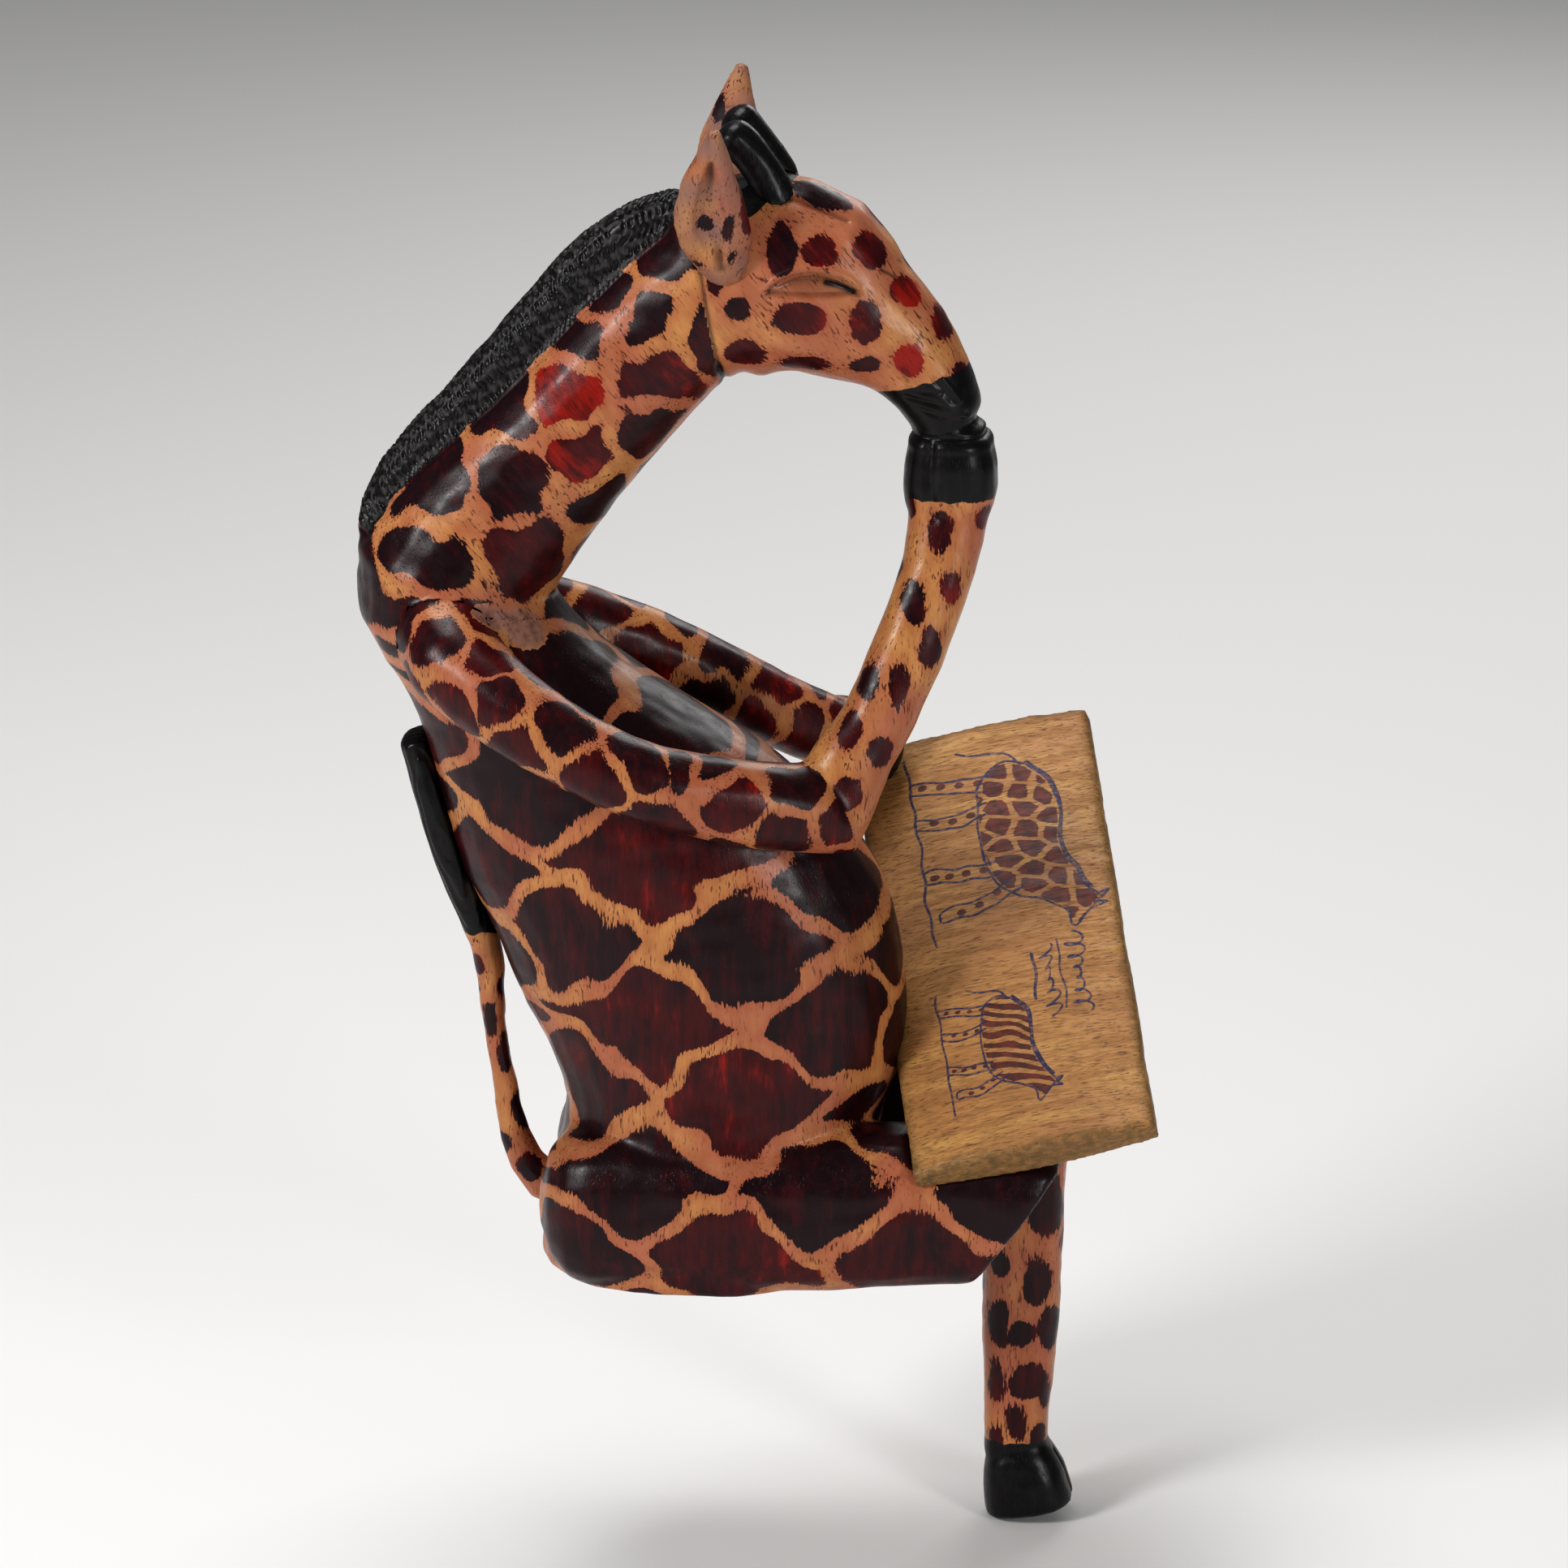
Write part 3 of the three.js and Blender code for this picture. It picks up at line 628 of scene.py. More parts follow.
coat = np.full(len(points), OUTSIDE)
redness = np.full(len(points), 0.3)
trunk_part = (owner == TORSO) | is_neck
torso_cells, neck_cells = list(TORSO_CELLS), list(NECK_CELLS)
torso_cells += [(cx + 5, -cy, cz + 4, tone) for cx, cy, cz, tone in TORSO_CELLS if cy < -10 and cz < 112]
neck_cells += [(cx + 3, -cy, cz + 3, tone) for cx, cy, cz, tone in NECK_CELLS if cy < -8]
far_torso, far_neck = (owner == TORSO) & (y > -5), is_neck & (y > 1)
torso_cells = scattered(points[far_torso], torso_cells, TORSO_SPACING, 21, (1, 1, 1.45), 0.1, 0.5)
neck_cells = scattered(points[far_neck], neck_cells, NECK_SPACING, 22)
net_cells = np.concatenate((torso_cells, neck_cells))
is_ogee = np.arange(len(net_cells)) < len(torso_cells)
uneven = 0.75 * ripple(points, 13, 31) + 0.55 * ripple(points, 6, 32)
wander = np.stack([ripple(points[trunk_part], 11, seed) for seed in (33, 34, 35)], axis=1)
border, tone = net(points[trunk_part] + 1.3 * wander, net_cells, is_ogee, 0.8)
coat[trunk_part] = border - NET_LINE / 2 + 0.75 * uneven[trunk_part] * ramp(z[trunk_part], 128, 158)
coat[trunk_part] += 0.25 * uneven[trunk_part]
redness[trunk_part] = tone

for part, placed, spacing, line, seed in (
        (owner == UPPER_ARM, ARM_CELLS, 9.5, 2.0, 41), (owner == LEFT_ARM, (), 10.5, 2.1, 42),
        (owner == SHIN, (), 10, 2.2, 43)):
    cells = scattered(points[part], placed, spacing, seed, lowest=0.2, highest=0.7)
    wander = np.stack([ripple(points[part], 7, seed + place) for place in (10, 20, 30)], axis=1)
    border, tone = net(points[part] + 0.8 * wander, cells, np.zeros(len(cells), dtype=bool), 0.7)
    coat[part] = border - line / 2 + 0.55 * uneven[part]
    redness[part] = tone

for part, placed, low, high, clearance, seed in (
        (is_head, HEAD_SPOTS, 2.2, 3.6, 1.6, 51), (is_forearm, FOREARM_SPOTS, 2.0, 2.8, 1.5, 52),
        (owner == LOWER_LEG, LEG_SPOTS, 2.2, 3.2, 1.3, 53)):
    ovals = strewn_spots(points[part & (y > -6)], placed, low, high, clearance, seed)
    depth, tone = spots(points[part], ovals)
    coat[part] = depth + 0.5 * uneven[part]
    redness[part] = tone
coat = np.where(filler > 0.3, -2.0, coat)
bare_lids = on_eye * ramp(-upper_lid, -1.0, 0) * ramp(lower_lid, -1, 0) > 0.3
coat = np.where(bare_lids, np.minimum(coat, -1.5), coat)

# Black paint: mane, brow, muzzle and hooves, from these heights, or this far out on the shin.
FOREARM_BLACK, LEG_BLACK, SHIN_BLACK = 166.2, -46.4, 36
brow_black = np.minimum(z - 225.2 - 0.7 * np.maximum(x, 0), 8.5 - x)
muzzle_black = (x - 30.6) * 0.28 - (z - 189.8) * 0.96
black = np.where(is_neck | is_head | (owner == TORSO), mane_depth(points), OUTSIDE)
black = np.where(is_head, np.maximum.reduce([black, brow_black, muzzle_black]), black)
black = np.where(is_forearm, z - FOREARM_BLACK, black)
black = np.where(owner == LOWER_LEG, LEG_BLACK - z, black)
past_wrist = (points - (12.5, 46, 99)) @ np.array((0.69, 0.6, -0.41))
black = np.where(owner == LEFT_ARM, past_wrist, black)
black = np.where(owner == SHIN, y - SHIN_BLACK, black)
black += 0.2 * ripple(points, 3, 61)

for name, values in zip(PAINTED, (coat, redness, black, painted_shade_and_stain, worn)):
    paint(carving, name, values)
paint(carving, "sanded", normals_of(carving))


# A pattern's space is scaled to units of 1 mm each way, or 1 mm with 6 mm along the grain.
EVEN, ALONG_GRAIN = (1000, 1000, 1000), (1000, 1000, 165)
GRAIN_RELIEF = 0.06 * MM
NECK_GRAIN_TILT = 38
UNMOVED = (0, 0, 0)


def stained_wood(name, grain_tilt):
    """Close-grained hardwood, spotted with wine-dark stain by brush, sanded and waxed.

    The light wood shows fine dark pores along the grain, the stain creeps along the grain at
    the spots' edges, and the wax gives a satin sheen. The grain's tilt is in degrees.
    """
    material, tree, shader = new_material(name)
    place = add_node(tree, "ShaderNodeTexCoord", {}, output="Object")
    tilt = (0, math.radians(grain_tilt), 0)
    turned = add_node(tree, "ShaderNodeMapping", {}, place, UNMOVED, tilt)
    grain = add_node(tree, "ShaderNodeMapping", {}, turned, UNMOVED, UNMOVED, ALONG_GRAIN)
    even = add_node(tree, "ShaderNodeMapping", {}, turned, UNMOVED, UNMOVED, EVEN)

    coat, redness, black, painted_shade_and_stain, worn = [
        add_node(tree, "ShaderNodeAttribute", {"attribute_name": name}, output="Fac")
        for name in PAINTED]

    # The edge of a spot is feathered along the grain by up to 2 mm.
    creep = add_node(tree, *NOISE, grain, 2.2, 2.5, 0.6)
    creep = add_node(tree, *MINUS, creep, 0.5)
    reach = add_node(tree, *NOISE, even, 0.09)
    reach = add_node(tree, *SMOOTH, reach, 0.35, 0.65, 1.3, 3.6)
    feather = add_node(tree, *TIMES, creep, reach)
    edge = add_node(tree, *PLUS, coat, feather)
    spot = add_node(tree, *SMOOTH, edge, -0.12, 0.16)
    feather = add_node(tree, *TIMES, feather, 0.25)
    paint_edge = add_node(tree, *PLUS, black, feather)
    painted = add_node(tree, *SMOOTH, paint_edge, -0.12, 0.12)

    # Bare wood: tan and pinkish by turns, redder where stain has bled, with figure and pores.
    pink = add_node(tree, *NOISE, even, 0.055)
    pink = add_node(tree, *SMOOTH, pink, 0.36, 0.62)
    wood = add_node(tree, *MIX, pink, "#c78f56", "#b27052")
    bled = add_node(tree, *SMOOTH, edge, -2.2, 0.0, 0.0, 0.35)
    wood = add_node(tree, *MIX, bled, wood, "#a04a38")
    figure = add_node(tree, *NOISE, grain, 0.35, 3.0, 0.6)
    figure = add_node(tree, *SMOOTH, figure, 0.3, 0.7, 0.0, 0.45)
    wood = add_node(tree, *MIX, figure, wood, "#975634")
    wood = add_node(tree, *MIX, worn, wood, "#866560")
    pores = add_node(tree, *NOISE, grain, 2.1, 1.5, 0.7)
    pores = add_node(tree, *SMOOTH, pores, 0.57, 0.66)
    porous = add_node(tree, *NOISE, even, 0.16)
    porous = add_node(tree, *SMOOTH, porous, 0.4, 0.6, 0.25, 0.95)
    pores = add_node(tree, *TIMES, pores, porous)
    wood = add_node(tree, *MIX, pores, wood, "#592d1e")

    # Stain: nearly black where it lies thick, glowing red where the brush left it thin.
    strokes = add_node(tree, *NOISE, grain, 0.42, 3.5, 0.65)
    strokes = add_node(tree, *TIMES, strokes, 0.9)
    cloud = add_node(tree, *NOISE, even, 0.085, 2.5, 0.6)
    cloud = add_node(tree, *TIMES, cloud, 0.7)
    thin = add_node(tree, *TIMES, redness, 0.62)
    thin = add_node(tree, *PLUS, thin, strokes)
    thin = add_node(tree, *PLUS, thin, cloud)
    warm = add_node(tree, *SMOOTH, thin, 0.82, 1.3)
    stain = add_node(tree, *MIX, warm, "#1d070e", "#4a0a0c")
    glow = add_node(tree, *SMOOTH, thin, 1.2, 1.5)
    stain = add_node(tree, *MIX, glow, stain, "#921b0e")
    streaks = add_node(tree, *NOISE, grain, 1.6, 2.0, 0.7)
    streaks = add_node(tree, *SMOOTH, streaks, 0.52, 0.75, 0.0, 0.4)
    stain = add_node(tree, *MIX, streaks, stain, "#120408")

    # Black paint, greyer where it is rubbed.
    soot = add_node(tree, *NOISE, grain, 0.8, 3.0, 0.7)
    soot = add_node(tree, *SMOOTH, soot, 0.45, 0.8, 0.0, 0.5)
    soot = add_node(tree, *MIX, soot, "#0d0b0e", "#231e20")
    soot = add_node(tree, *MIX, worn, soot, "#3a3736")

    colour = add_node(tree, *MIX, spot, wood, stain)
    colour = add_node(tree, *MIX, painted, colour, soot)
    # Painted shade, with some stain, darkens the cuts, creases and grooves.
    colour = add_node(tree, *MIX, painted_shade_and_stain, colour, "#1c100d")
    tree.links.new(colour, shader.inputs["Base Color"])

    satin = add_node(tree, *NOISE, even, 0.35, 4.0, 0.7)
    satin = add_node(tree, *SMOOTH, satin, 0.3, 0.7, 0.27, 0.38)
    dull = add_node(tree, *TIMES, worn, 0.22)
    satin = add_node(tree, *PLUS, satin, dull)
    tree.links.new(satin, shader.inputs["Roughness"])
    shader.inputs["IOR"].default_value = 1.42
    shader.inputs["Specular IOR Level"].default_value = 0.36
    raised = add_node(tree, *NOISE, grain, 2.7, 3.0, 0.7)
    relief = add_node(tree, *MINUS, raised, pores)
    bump = add_node(tree, "ShaderNodeBump", {}, 0.35, GRAIN_RELIEF, 0.1, relief)
    tree.links.new(bump, shader.inputs["Normal"])
    return material


upright_wood = stained_wood("stained_jacaranda_wood", 0)
neck_wood = stained_wood("stained_jacaranda_wood_slanting_grain", NECK_GRAIN_TILT)
finishes = [neck_wood if node in ("neck", "head") else upright_wood for node in CARVED]

only(carving)
winner = face_owners(carving, owner)
for finish in finishes:
    carving.data.materials.append(finish)
carving.data.polygons.foreach_set("material_index", winner.astype(np.int32))
part_layer = carving.data.attributes.new("part", "INT", "FACE")
part_layer.data.foreach_set("value", winner.astype(np.int32))
bpy.ops.object.mode_set(mode="EDIT")
bpy.ops.mesh.select_all(action="SELECT")
bpy.ops.mesh.separate(type="MATERIAL")
bpy.ops.object.mode_set(mode="OBJECT")
parted = [obj for obj in bpy.context.selected_objects if obj.type == "MESH"]


def cap_glue_faces(obj):
    """Closes the holes left where the pieces were parted."""
    only(obj)
    bpy.ops.object.mode_set(mode="EDIT")
    bpy.ops.mesh.select_mode(type="EDGE")
    bpy.ops.mesh.select_all(action="DESELECT")
    bpy.ops.mesh.select_non_manifold(extend=False, use_wire=False, use_boundary=True,
                                     use_multi_face=False, use_non_contiguous=False, use_verts=False)
    bpy.ops.mesh.fill_holes(sides=0)
    bpy.ops.object.mode_set(mode="OBJECT")


for piece in parted:
    number = piece.data.attributes["part"].data[0].value
    node = CARVED[number]
    piece.name = "carved_" + node
    piece.data.name = piece.name
    cap_glue_faces(piece)
    piece.data.materials.clear()
    piece.data.materials.append(finishes[number])
    piece.data.polygons.foreach_set("material_index", np.zeros(len(piece.data.polygons), dtype=np.int32))
    sanded = numbers_of(piece.data.attributes["sanded"].data, "vector", 3)
    piece.data.normals_split_custom_set_from_vertices([tuple(n) for n in sanded.tolist()])
    piece.data.attributes.remove(piece.data.attributes["sanded"])
    piece.data.attributes.remove(piece.data.attributes["part"])
    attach(piece, "root")
    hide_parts(node)

# ---- Tail ----
# One bent stick of the same wood, glued into the back of the haunches and against the back. Its
# tuft is painted black and scored lengthwise like hair.
SMALL_FACET = 0.45 * MM
TUFT_START = 69.5
TAIL_SPOTS = (
    (-50.9, -3, 58, 2.4, 4.2, .1), (-51.7, -3, 43, 2.0, 4.0, .2), (-48.4, -3, 31, 2.3, 4.6, .2),
    (-46.9, -3.5, 18.5, 2.8, 3.2, .3), (-55, -1, 50.5, 1.7, 4.2, .3), (-41.7, -3.5, 20.5, 1.6, 3.0, .2),
)


def painted_piece(piece, node, layers):
    """Gives a piece its painted layers and its wood, and sets it on the body for its CAD node."""
    for name in PAINTED:
        paint(piece, name, layers.get(name, np.zeros(len(piece.data.vertices))))
    piece.data.materials.clear()
    piece.data.materials.append(upright_wood)
    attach(piece, "root")
    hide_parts(node)


tail = remeshed("carved_tail", ("tail",), SMALL_FACET, 6)
points = points_of(tail)
x, y, z = points.T
on_tuft = ramp(z, TUFT_START - 1, TUFT_START + 5)
hair = np.sin(2 * math.pi * (y + 0.25 * ripple(points, 9, 71)) / 1.7)
carve_by(tail, 0.1 * ripple(points, 8, 72) - 0.3 * on_tuft * ramp(hair, -0.2, 0.9))
ovals = strewn_spots(points[z < TUFT_START - 6], TAIL_SPOTS, 1.8, 2.4, 1.0, 73)
depth, tone = spots(points, ovals)
painted_piece(tail, "tail", {
    "coat": depth + 0.3 * ripple(points, 5, 74), "redness": tone,
    "black": z - TUFT_START - 0.12 * np.abs(y) + 0.4 * ripple(points, 4, 75),
    # Painted shade darkens the grooves between the tuft's hairs.
    "painted_shade_and_stain": 0.25 * on_tuft * ramp(hair, 0, 0.9),
})

# ---- Ears ----
# Thin leaves of wood pegged to the sides of the skull, hollowed outside, with a midrib groove.
EAR_SPOTS = (
    (-8.2, -20, 226.7, 2.0, 2.2, .1), (-12.9, -19, 229.7, 1.6, 2.2, .1), (-3.2, -20, 227, 1.4, 4.2, .1),
    (-9.1, -16, 217.8, 2.0, 1.7, .1), (-3, -17, 219.7, 2.0, 2.2, .1), (0.3, -20, 229.5, 1.3, 6.5, .5),
    (-9.3, -23, 239.2, 1.4, 3.6, .1),
)
for node, side in (("right_ear", 1), ("left_ear", -1)):
    ear = remeshed("carved_" + node, (node, node + "_peg"), SMALL_FACET, 4)
    points = points_of(ear)
    folded = points * (1, side, 1)
    midrib = line_distance(folded, ((-6, -29, 245.5), (-6.6, -25, 234), (-6, -20, 222), (-5, -17, 216)))
    groove = ridge(midrib, 0.7)
    carve_by(ear, 0.12 * ripple(points, 7, 81) - 0.7 * groove)
    depth, tone = spots(folded, EAR_SPOTS)
    greyed = 0.5 + 0.25 * ripple(points, 9, 82)
    painted_piece(ear, node, {
        "coat": depth + 0.25 * ripple(points, 4, 83), "redness": tone,
        "black": np.full(len(points), OUTSIDE),
        # Painted shade darkens the midrib groove.
        "painted_shade_and_stain": 0.75 * groove, "worn": np.clip(greyed, 0, 1),
    })

# ---- Horns ----
# Two short knobbed horns, leaning back from the brow and painted black with it.
for node in ("right_horn", "left_horn"):
    horn = remeshed("carved_" + node, (node,), SMALL_FACET, 5)
    points = points_of(horn)
    carve_by(horn, 0.16 * ripple(points, 9, 85) + 0.015 * ripple(points, 2, 86))
    painted_piece(horn, node, {
        "coat": np.full(len(points), OUTSIDE), "black": np.full(len(points), INSIDE),
        "worn": 0.12 * ramp(ripple(points, 2.0, 87), 0.3, 1.0),
    })

# ---- The book ----
# A sanded slab of pale wood, thicker along its middle, with worn edges. Two animals are drawn on
# it in blue ink and coloured with the wine stain, beside wavy pen strokes that spell nothing.
BOOK_LENGTH, BOOK_WIDTH = 110.0, 51.0
BOOK_FACET = 0.65 * MM
NEAR_LEFT = np.array((35.5, -30.0, 27.5))
NEAR_RIGHT = np.array((84.6, -29.5, 40.0))
FAR_LEFT = np.array((15.8, 60.0, 88.5))
slab_across = (NEAR_RIGHT - NEAR_LEFT) / np.linalg.norm(NEAR_RIGHT - NEAR_LEFT)
slab_far = FAR_LEFT - NEAR_LEFT
slab_along = slab_far - slab_far @ slab_across * slab_across
slab_along /= np.linalg.norm(slab_along)
slab_up = np.cross(slab_across, slab_along)
slab_skew = slab_far @ slab_across / BOOK_LENGTH


def on_slab(points):
    """Each point's way across and along the slab, and its height above its middle plane."""
    gap = points - NEAR_LEFT
    along = gap @ slab_along
    return gap @ slab_across - slab_skew * along, along, gap @ slab_up


book = remeshed("drawn_book", ("book",), BOOK_FACET, 9)
points = points_of(book)
across, along, above = on_slab(points)
drawn_on = (above > 1.0) & (across > 4) & (across < BOOK_WIDTH - 4)
drawn_on &= (along > 5) & (along < BOOK_LENGTH - 6)
corners, face = corners_of(book)
chosen = np.ones(len(book.data.polygons), dtype=bool)
chosen[face[~drawn_on[corners]]] = False
refine(book, chosen, 2)
points = points_of(book)
across, along, above = on_slab(points)
from_rim = np.minimum.reduce([across, BOOK_WIDTH - across, along, BOOK_LENGTH - along])
nicks = ridge(from_rim, 1.2) * ramp(ripple(points, 12, 91), 0.2, 1.1)
carve_by(book, 0.06 * ripple(points, 26, 92) - 0.2 * nicks)


def smooth_line(line, steps=5):
    """A rounded line through given points."""
    line = [np.asarray(p, dtype=float) for p in line]
    ends = [2 * line[0] - line[1], *line, 2 * line[-1] - line[-2]]
    rounded = []
    for before, start, end, after in zip(ends, ends[1:], ends[2:], ends[3:]):
        for step in range(steps):
            t = step / steps
            square = 2 * before - 5 * start + 4 * end - after
            cube = 3 * start - before - 3 * end + after
            rounded.append(0.5 * (2 * start + (end - before) * t + square * t ** 2 + cube * t ** 3))
    return np.array(rounded + [line[-1]])


# An animal in profile, in mm from under its rump: forward, then up.
BODY_LINE = ((0, 25), (6, 29.5), (14, 30.5), (22, 29.6), (29, 32), (34.5, 34.5), (37, 36), (39, 34.6),
             (43.4, 31), (43.4, 29.4), (39, 28.4), (36, 24.5), (32.5, 18.5), (28, 14.8), (18, 13), (8, 13.6),
             (2, 15), (-1.6, 20), (0, 25))
LEG_LINES = (((1, 18), (0.5, 9), (-1.5, 0.6), (1, 0.3)), ((5, 16), (3.6, 9), (1.6, 0.4)),
             ((8, 15.5), (9.6, 8), (8.4, 0.8), (10.6, 0.3)), ((11, 15), (12.6, 8), (11, 0.5)),
             ((23.6, 15.8), (23.6, 8), (22.4, 0.7), (25, 0.3)), ((27, 16.6), (26.8, 8), (25.6, 0.5)),
             ((29, 18.5), (32.5, 11), (33.4, 3), (36, 2.4)), ((31, 20.5), (35.6, 12), (36.6, 3)))
LEG_DOTS = ((2.4, 14.5), (1.9, 10.5), (1.2, 6.5), (0.4, 2.6), (10.4, 12), (10.9, 8), (10.2, 4), (25.3, 13),
            (25.1, 9.2), (24.9, 5.6), (24.3, 2.4), (31.6, 15), (33.8, 11), (34.8, 7))
TAIL_LINE = ((0, 24), (-3.6, 21), (-4.8, 14), (-6.4, 10.5))
EAR_LINES = (((36.5, 35.5), (35.4, 38), (37.6, 36.4)), ((38, 34.8), (38.9, 37.6), (39.6, 34)))
GROUND_LINE = ((-8, -0.3), (12, 0.3), (30, 0.1), (42, 0.8))


def drawing(rump, size, pen):
    """The pen lines of one animal on the slab, as (across, along) lines, and its body outline."""
    def placed(line):
        return np.array([(rump[0] + up * size, rump[1] - forward * size) for forward, up in line])
    outline = smooth_line(placed(BODY_LINE))
    others = LEG_LINES + EAR_LINES + (TAIL_LINE, GROUND_LINE)
    lines = [outline] + [smooth_line(placed(line)) for line in others]
    retraced = smooth_line(placed(BODY_LINE[:6])) + 0.35
    return [(line, pen) for line in lines] + [(retraced, pen * 1.6)], outline, placed(LEG_DOTS)


def scribble(start, length, swing, turns, turn_phase, swell, swell_phase):
    """A wavy pen stroke down the slab that spells nothing, as an (across, along) line."""
    share = np.linspace(0, 1, 120)
    size = swing * (0.6 + 0.4 * np.sin(share * swell + swell_phase))
    across = start[0] + size * np.sin(share * turns + turn_phase)
    along = start[1] - length * share + 0.9 * np.cos(share * turns)
    return np.stack((across, along), axis=1)


def inside_outline(flat, outline):
    """True for each point inside a closed line."""
    inside = np.zeros(len(flat), dtype=bool)
    for start, end in zip(outline[:-1], outline[1:]):
        crosses = (start[1] > flat[:, 1]) != (end[1] > flat[:, 1])
        rise = end[1] - start[1] if end[1] != start[1] else 1e-9
        meets = start[0] + (flat[:, 1] - start[1]) / rise * (end[0] - start[0])
        inside ^= crosses & (flat[:, 0] < meets)
    return inside


points = points_of(book)
across, along, above = on_slab(points)
on_top = above > 0.5
flat = np.stack((across, along), axis=1)[on_top]
ink = np.full(len(flat), OUTSIDE)
patch = np.full(len(flat), OUTSIDE)
wobble = np.stack((ripple(points[on_top], 9, 93), ripple(points[on_top], 8, 94)), axis=1) * 0.3
big_lines, big_body, big_dots = drawing((11.5, 97), 1.0, 0.26)
small_lines, small_body, small_dots = drawing((10.5, 38), 0.62, 0.21)
first_word = scribble((40.8, 51), 19, 1.9, 40, 0, 9, 0)
second_word = scribble((34.6, 49), 17, 1.7, 34, 1, 7, math.pi / 2)
underlines = ((np.array(((37.6, 50.5), (37.2, 33))), 0.2), (np.array(((31.7, 48), (31.2, 36))), 0.3))
words = ((first_word, 0.22), (second_word, 0.22), *underlines)
for line, half_width in (*big_lines, *small_lines, *words):
    low, high = line.min(axis=0) - 2, line.max(axis=0) + 2
    near = ((flat > low) & (flat < high)).all(axis=1)
    ink[near] = np.maximum(ink[near], half_width - line_distance(flat[near] + wobble[near], line))

dice = random.Random(95)
big_inside = inside_outline(flat, big_body)
rim = line_distance(flat, big_body)
seeds = np.array([(24 + 5.2 * column + dice.uniform(-1.5, 1.5), 50 + 5 * row + 2.5 * (column % 2)
                   + dice.uniform(-1.3, 1.3)) for column in range(6) for row in range(10)])
slanted = np.array(((0.8, 0.0), (0.35, 1.0)))
gaps = np.sort(np.linalg.norm((flat[:, None, :] - seeds[None]) @ slanted, axis=2), axis=1)
patch = np.where(big_inside, np.minimum((gaps[:, 1] - gaps[:, 0]) / 2 - 0.42, rim - 0.4), patch)
small_inside = inside_outline(flat, small_body)
stripe = np.sin(2 * math.pi * (flat[:, 1] + 0.35 * flat[:, 0] + 2.4 * wobble[:, 0]) / 2.6)
patch = np.where(small_inside, np.minimum(0.5 * stripe + 0.12, line_distance(flat, small_body) - 0.3), patch)
for dots, radius in ((big_dots, 0.85), (small_dots, 0.5)):
    for dot in dots:
        patch = np.maximum(patch, radius - np.linalg.norm((flat - dot) * (0.8, 1), axis=1))


def over_slab(depths):
    """Spreads depths on the drawn face to the whole slab."""
    whole = np.full(len(on_top), OUTSIDE)
    whole[on_top] = depths
    return whole


paint(book, "ink", over_slab(ink))
paint(book, "patch", over_slab(patch))
from_rim = np.minimum.reduce([across, BOOK_WIDTH - across, along, BOOK_LENGTH - along])
handled = 0.8 * ridge(np.maximum(from_rim, 0), 1.6) + 0.6 * ramp(6 - np.hypot(across, along), 0, 6)
paint(book, "handled", np.clip(handled, 0, 1))
paint(book, "slab", np.stack((across, along, above), axis=1))


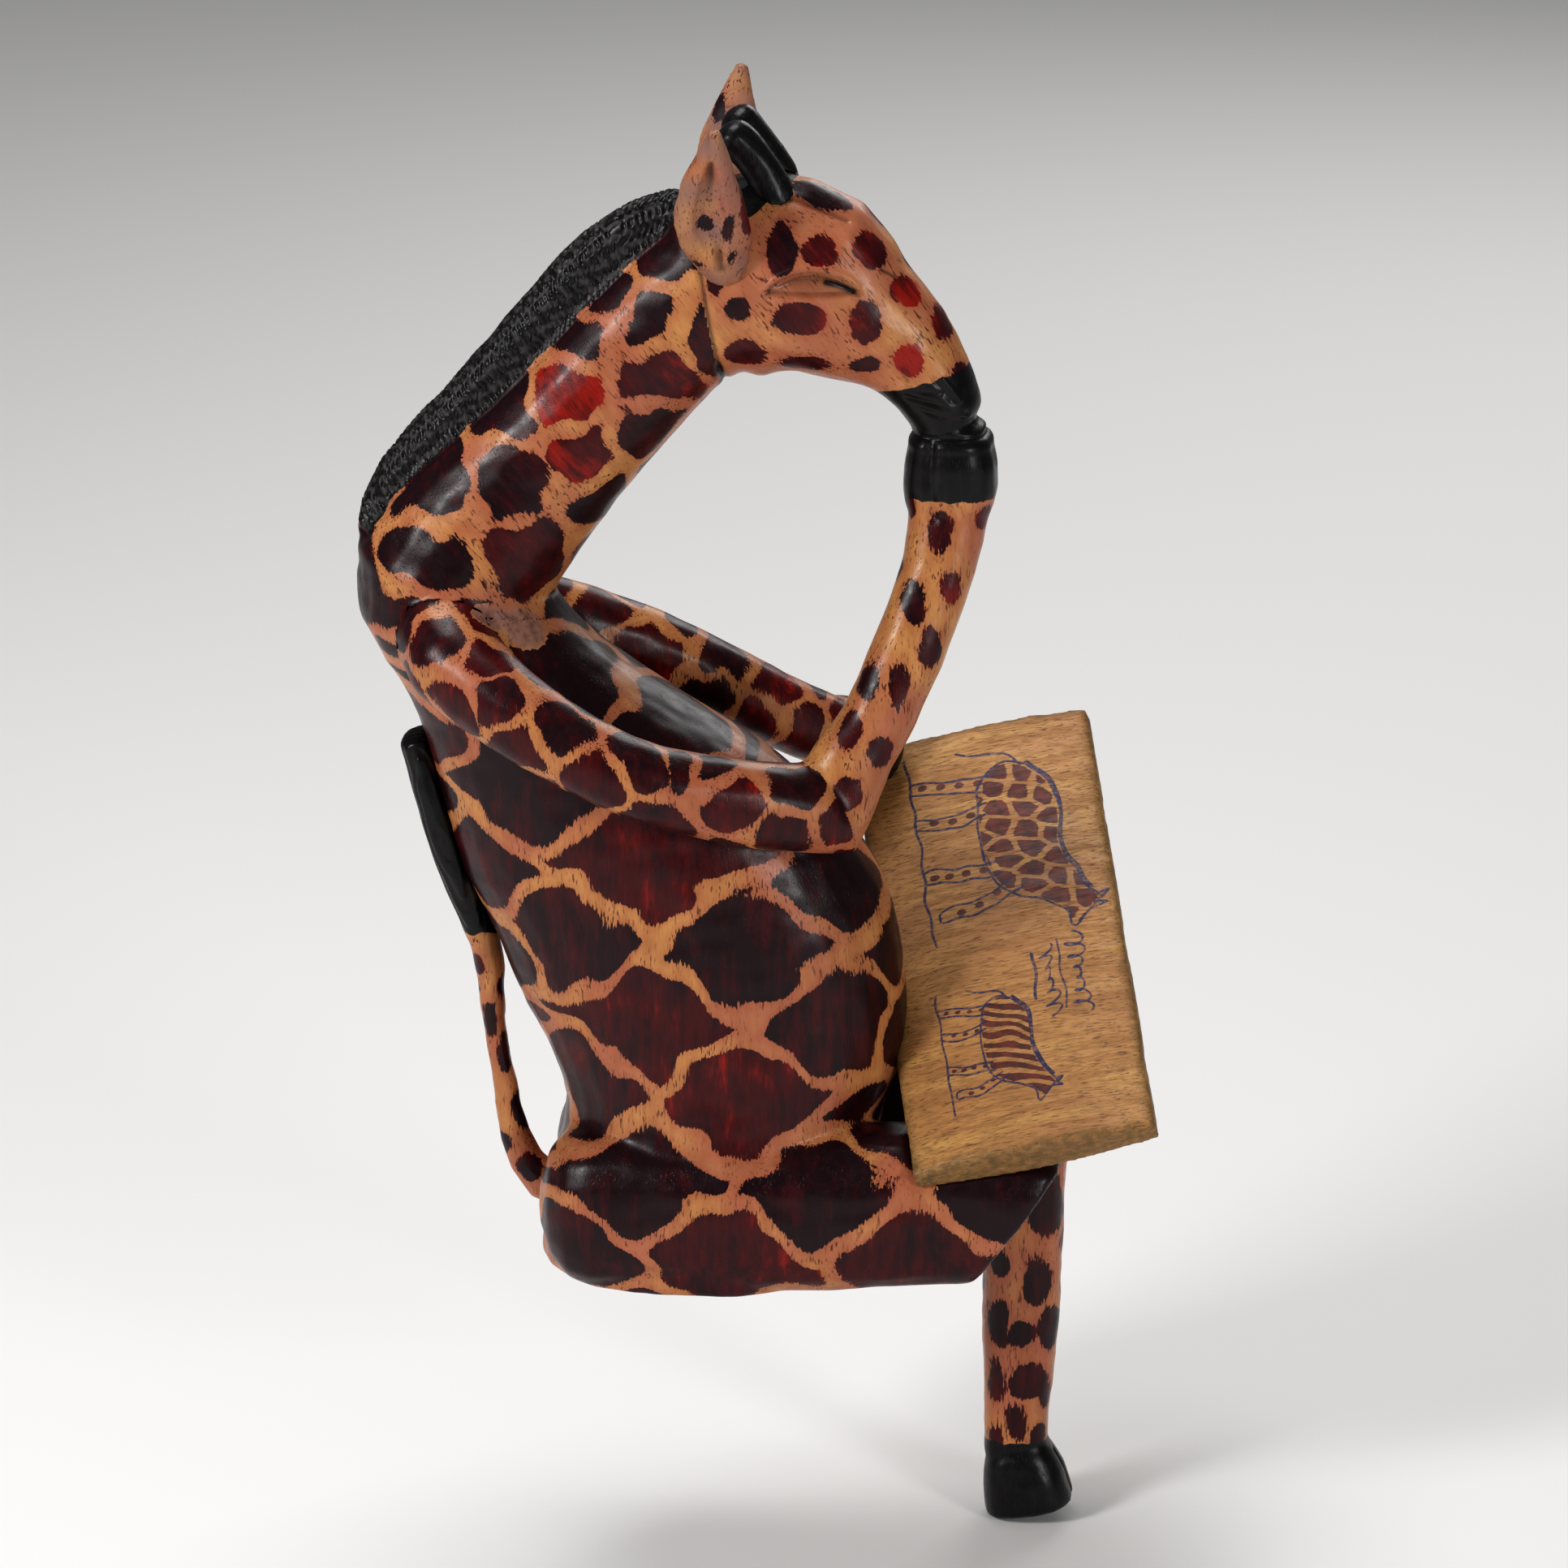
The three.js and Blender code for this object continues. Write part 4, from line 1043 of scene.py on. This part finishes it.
def pale_slab_wood():
    """Pale plain hardwood, hand sanded and oiled, greyed at its handled edges.

    Fine growth lines run across the slab, the pores are short dark ticks along them, and pen
    ink and wine stain lie on the open grain.
    """
    material, tree, shader = new_material("oiled_pale_hardwood")
    # One unit is 1 mm each way.
    slab = add_node(tree, "ShaderNodeAttribute", {"attribute_name": "slab"}, output="Vector")
    # One unit is 1 mm along the slab and 9 mm across it, the way the grain runs.
    grain = add_node(tree, "ShaderNodeMapping", {}, slab, UNMOVED, UNMOVED, (0.11, 1, 1))
    patch, ink, handled = [
        add_node(tree, "ShaderNodeAttribute", {"attribute_name": name}, output="Fac")
        for name in ("patch", "ink", "handled")]

    tone = add_node(tree, *NOISE, slab, 0.045)
    tone = add_node(tree, *SMOOTH, tone, 0.35, 0.65)
    wood = add_node(tree, *MIX, tone, "#bc8a50", "#ad7a48")
    lines = add_node(tree, *NOISE, grain, 0.55, 3.5, 0.62)
    dark_lines = add_node(tree, *SMOOTH, lines, 0.42, 0.62, 0.0, 0.6)
    wood = add_node(tree, *MIX, dark_lines, wood, "#96693c")
    pale = add_node(tree, *NOISE, grain, 0.23)
    pale = add_node(tree, *SMOOTH, pale, 0.52, 0.7, 0.0, 0.5)
    wood = add_node(tree, *MIX, pale, wood, "#c99e5a")
    fine = add_node(tree, *NOISE, grain, 2.2, 3.0, 0.7)
    fine = add_node(tree, *SMOOTH, fine, 0.45, 0.63, 0.0, 0.55)
    wood = add_node(tree, *MIX, fine, wood, "#8c6036")
    pores = add_node(tree, *NOISE, grain, 3.0, 1.5, 0.7)
    pores = add_node(tree, *SMOOTH, pores, 0.56, 0.66, 0.0, 0.75)
    wood = add_node(tree, *MIX, pores, wood, "#5c3c20")

    # Smudges, and dirt from hands along the edges.
    smudge = add_node(tree, *NOISE, slab, 0.22, 4.0, 0.7)
    smudge = add_node(tree, *SMOOTH, smudge, 0.5, 0.75, 0.0, 0.35)
    wood = add_node(tree, *MIX, smudge, wood, "#84603e")
    soil = add_node(tree, *NOISE, slab, 0.5, 3.0, 0.7)
    soil = add_node(tree, *SMOOTH, soil, 0.3, 0.65, 0.3, 0.95)
    soil = add_node(tree, *TIMES, soil, handled)
    wood = add_node(tree, *MIX, soil, wood, "#5c4c2c")

    # Wine stain, ragged along the grain, under pen ink that is pressed unevenly.
    ragged = add_node(tree, *NOISE, grain, 2.2, 2.0, 0.6)
    ragged = add_node(tree, "ShaderNodeMapRange", {}, ragged, 0.0, 1.0, -0.28, 0.28)
    ragged = add_node(tree, *PLUS, patch, ragged)
    stained = add_node(tree, *SMOOTH, ragged, -0.08, 0.12, 0.0, 0.94)
    shade = add_node(tree, *NOISE, slab, 0.6)
    shade = add_node(tree, *SMOOTH, shade, 0.35, 0.7)
    stain = add_node(tree, *MIX, shade, "#3c1014", "#641f1a")
    wood = add_node(tree, *MIX, stained, wood, stain)
    pressed = add_node(tree, *NOISE, slab, 1.1)
    pressed = add_node(tree, *SMOOTH, pressed, 0.3, 0.6, 0.55, 1.0)
    pen = add_node(tree, *SMOOTH, ink, -0.14, 0.08)
    pen = add_node(tree, *TIMES, pen, pressed)
    wood = add_node(tree, *MIX, pen, wood, "#232148")
    tree.links.new(wood, shader.inputs["Base Color"])

    dull = add_node(tree, *SMOOTH, lines, 0.3, 0.7, 0.45, 0.6)
    tree.links.new(dull, shader.inputs["Roughness"])
    shader.inputs["Specular IOR Level"].default_value = 0.35
    relief = add_node(tree, *MINUS, lines, pores)
    bump = add_node(tree, "ShaderNodeBump", {}, 0.4, GRAIN_RELIEF, 0.1, relief)
    tree.links.new(bump, shader.inputs["Normal"])
    return material


book.data.materials.clear()
book.data.materials.append(pale_slab_wood())
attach(book, "root")
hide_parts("book")

# ---- Dowels and pegs ----
# Turned pins of bare pale wood, glued inside the joints, where none of them shows.
pin_wood, pin_tree, pin_shader = new_material("bare_beech_dowel")
pin_place = add_node(pin_tree, "ShaderNodeTexCoord", {}, output="Object")
pin_grain = add_node(pin_tree, "ShaderNodeMapping", {}, pin_place, UNMOVED, UNMOVED, ALONG_GRAIN)
pin_lines = add_node(pin_tree, *NOISE, pin_grain, 1.4, 3.0)
pin_colour = add_node(pin_tree, *MIX, pin_lines, "#d0b184", "#a98455")
pin_tree.links.new(pin_colour, pin_shader.inputs["Base Color"])
pin_shader.inputs["Roughness"].default_value = 0.65
for node in PINS:
    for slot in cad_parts[node].material_slots:
        slot.material = pin_wood
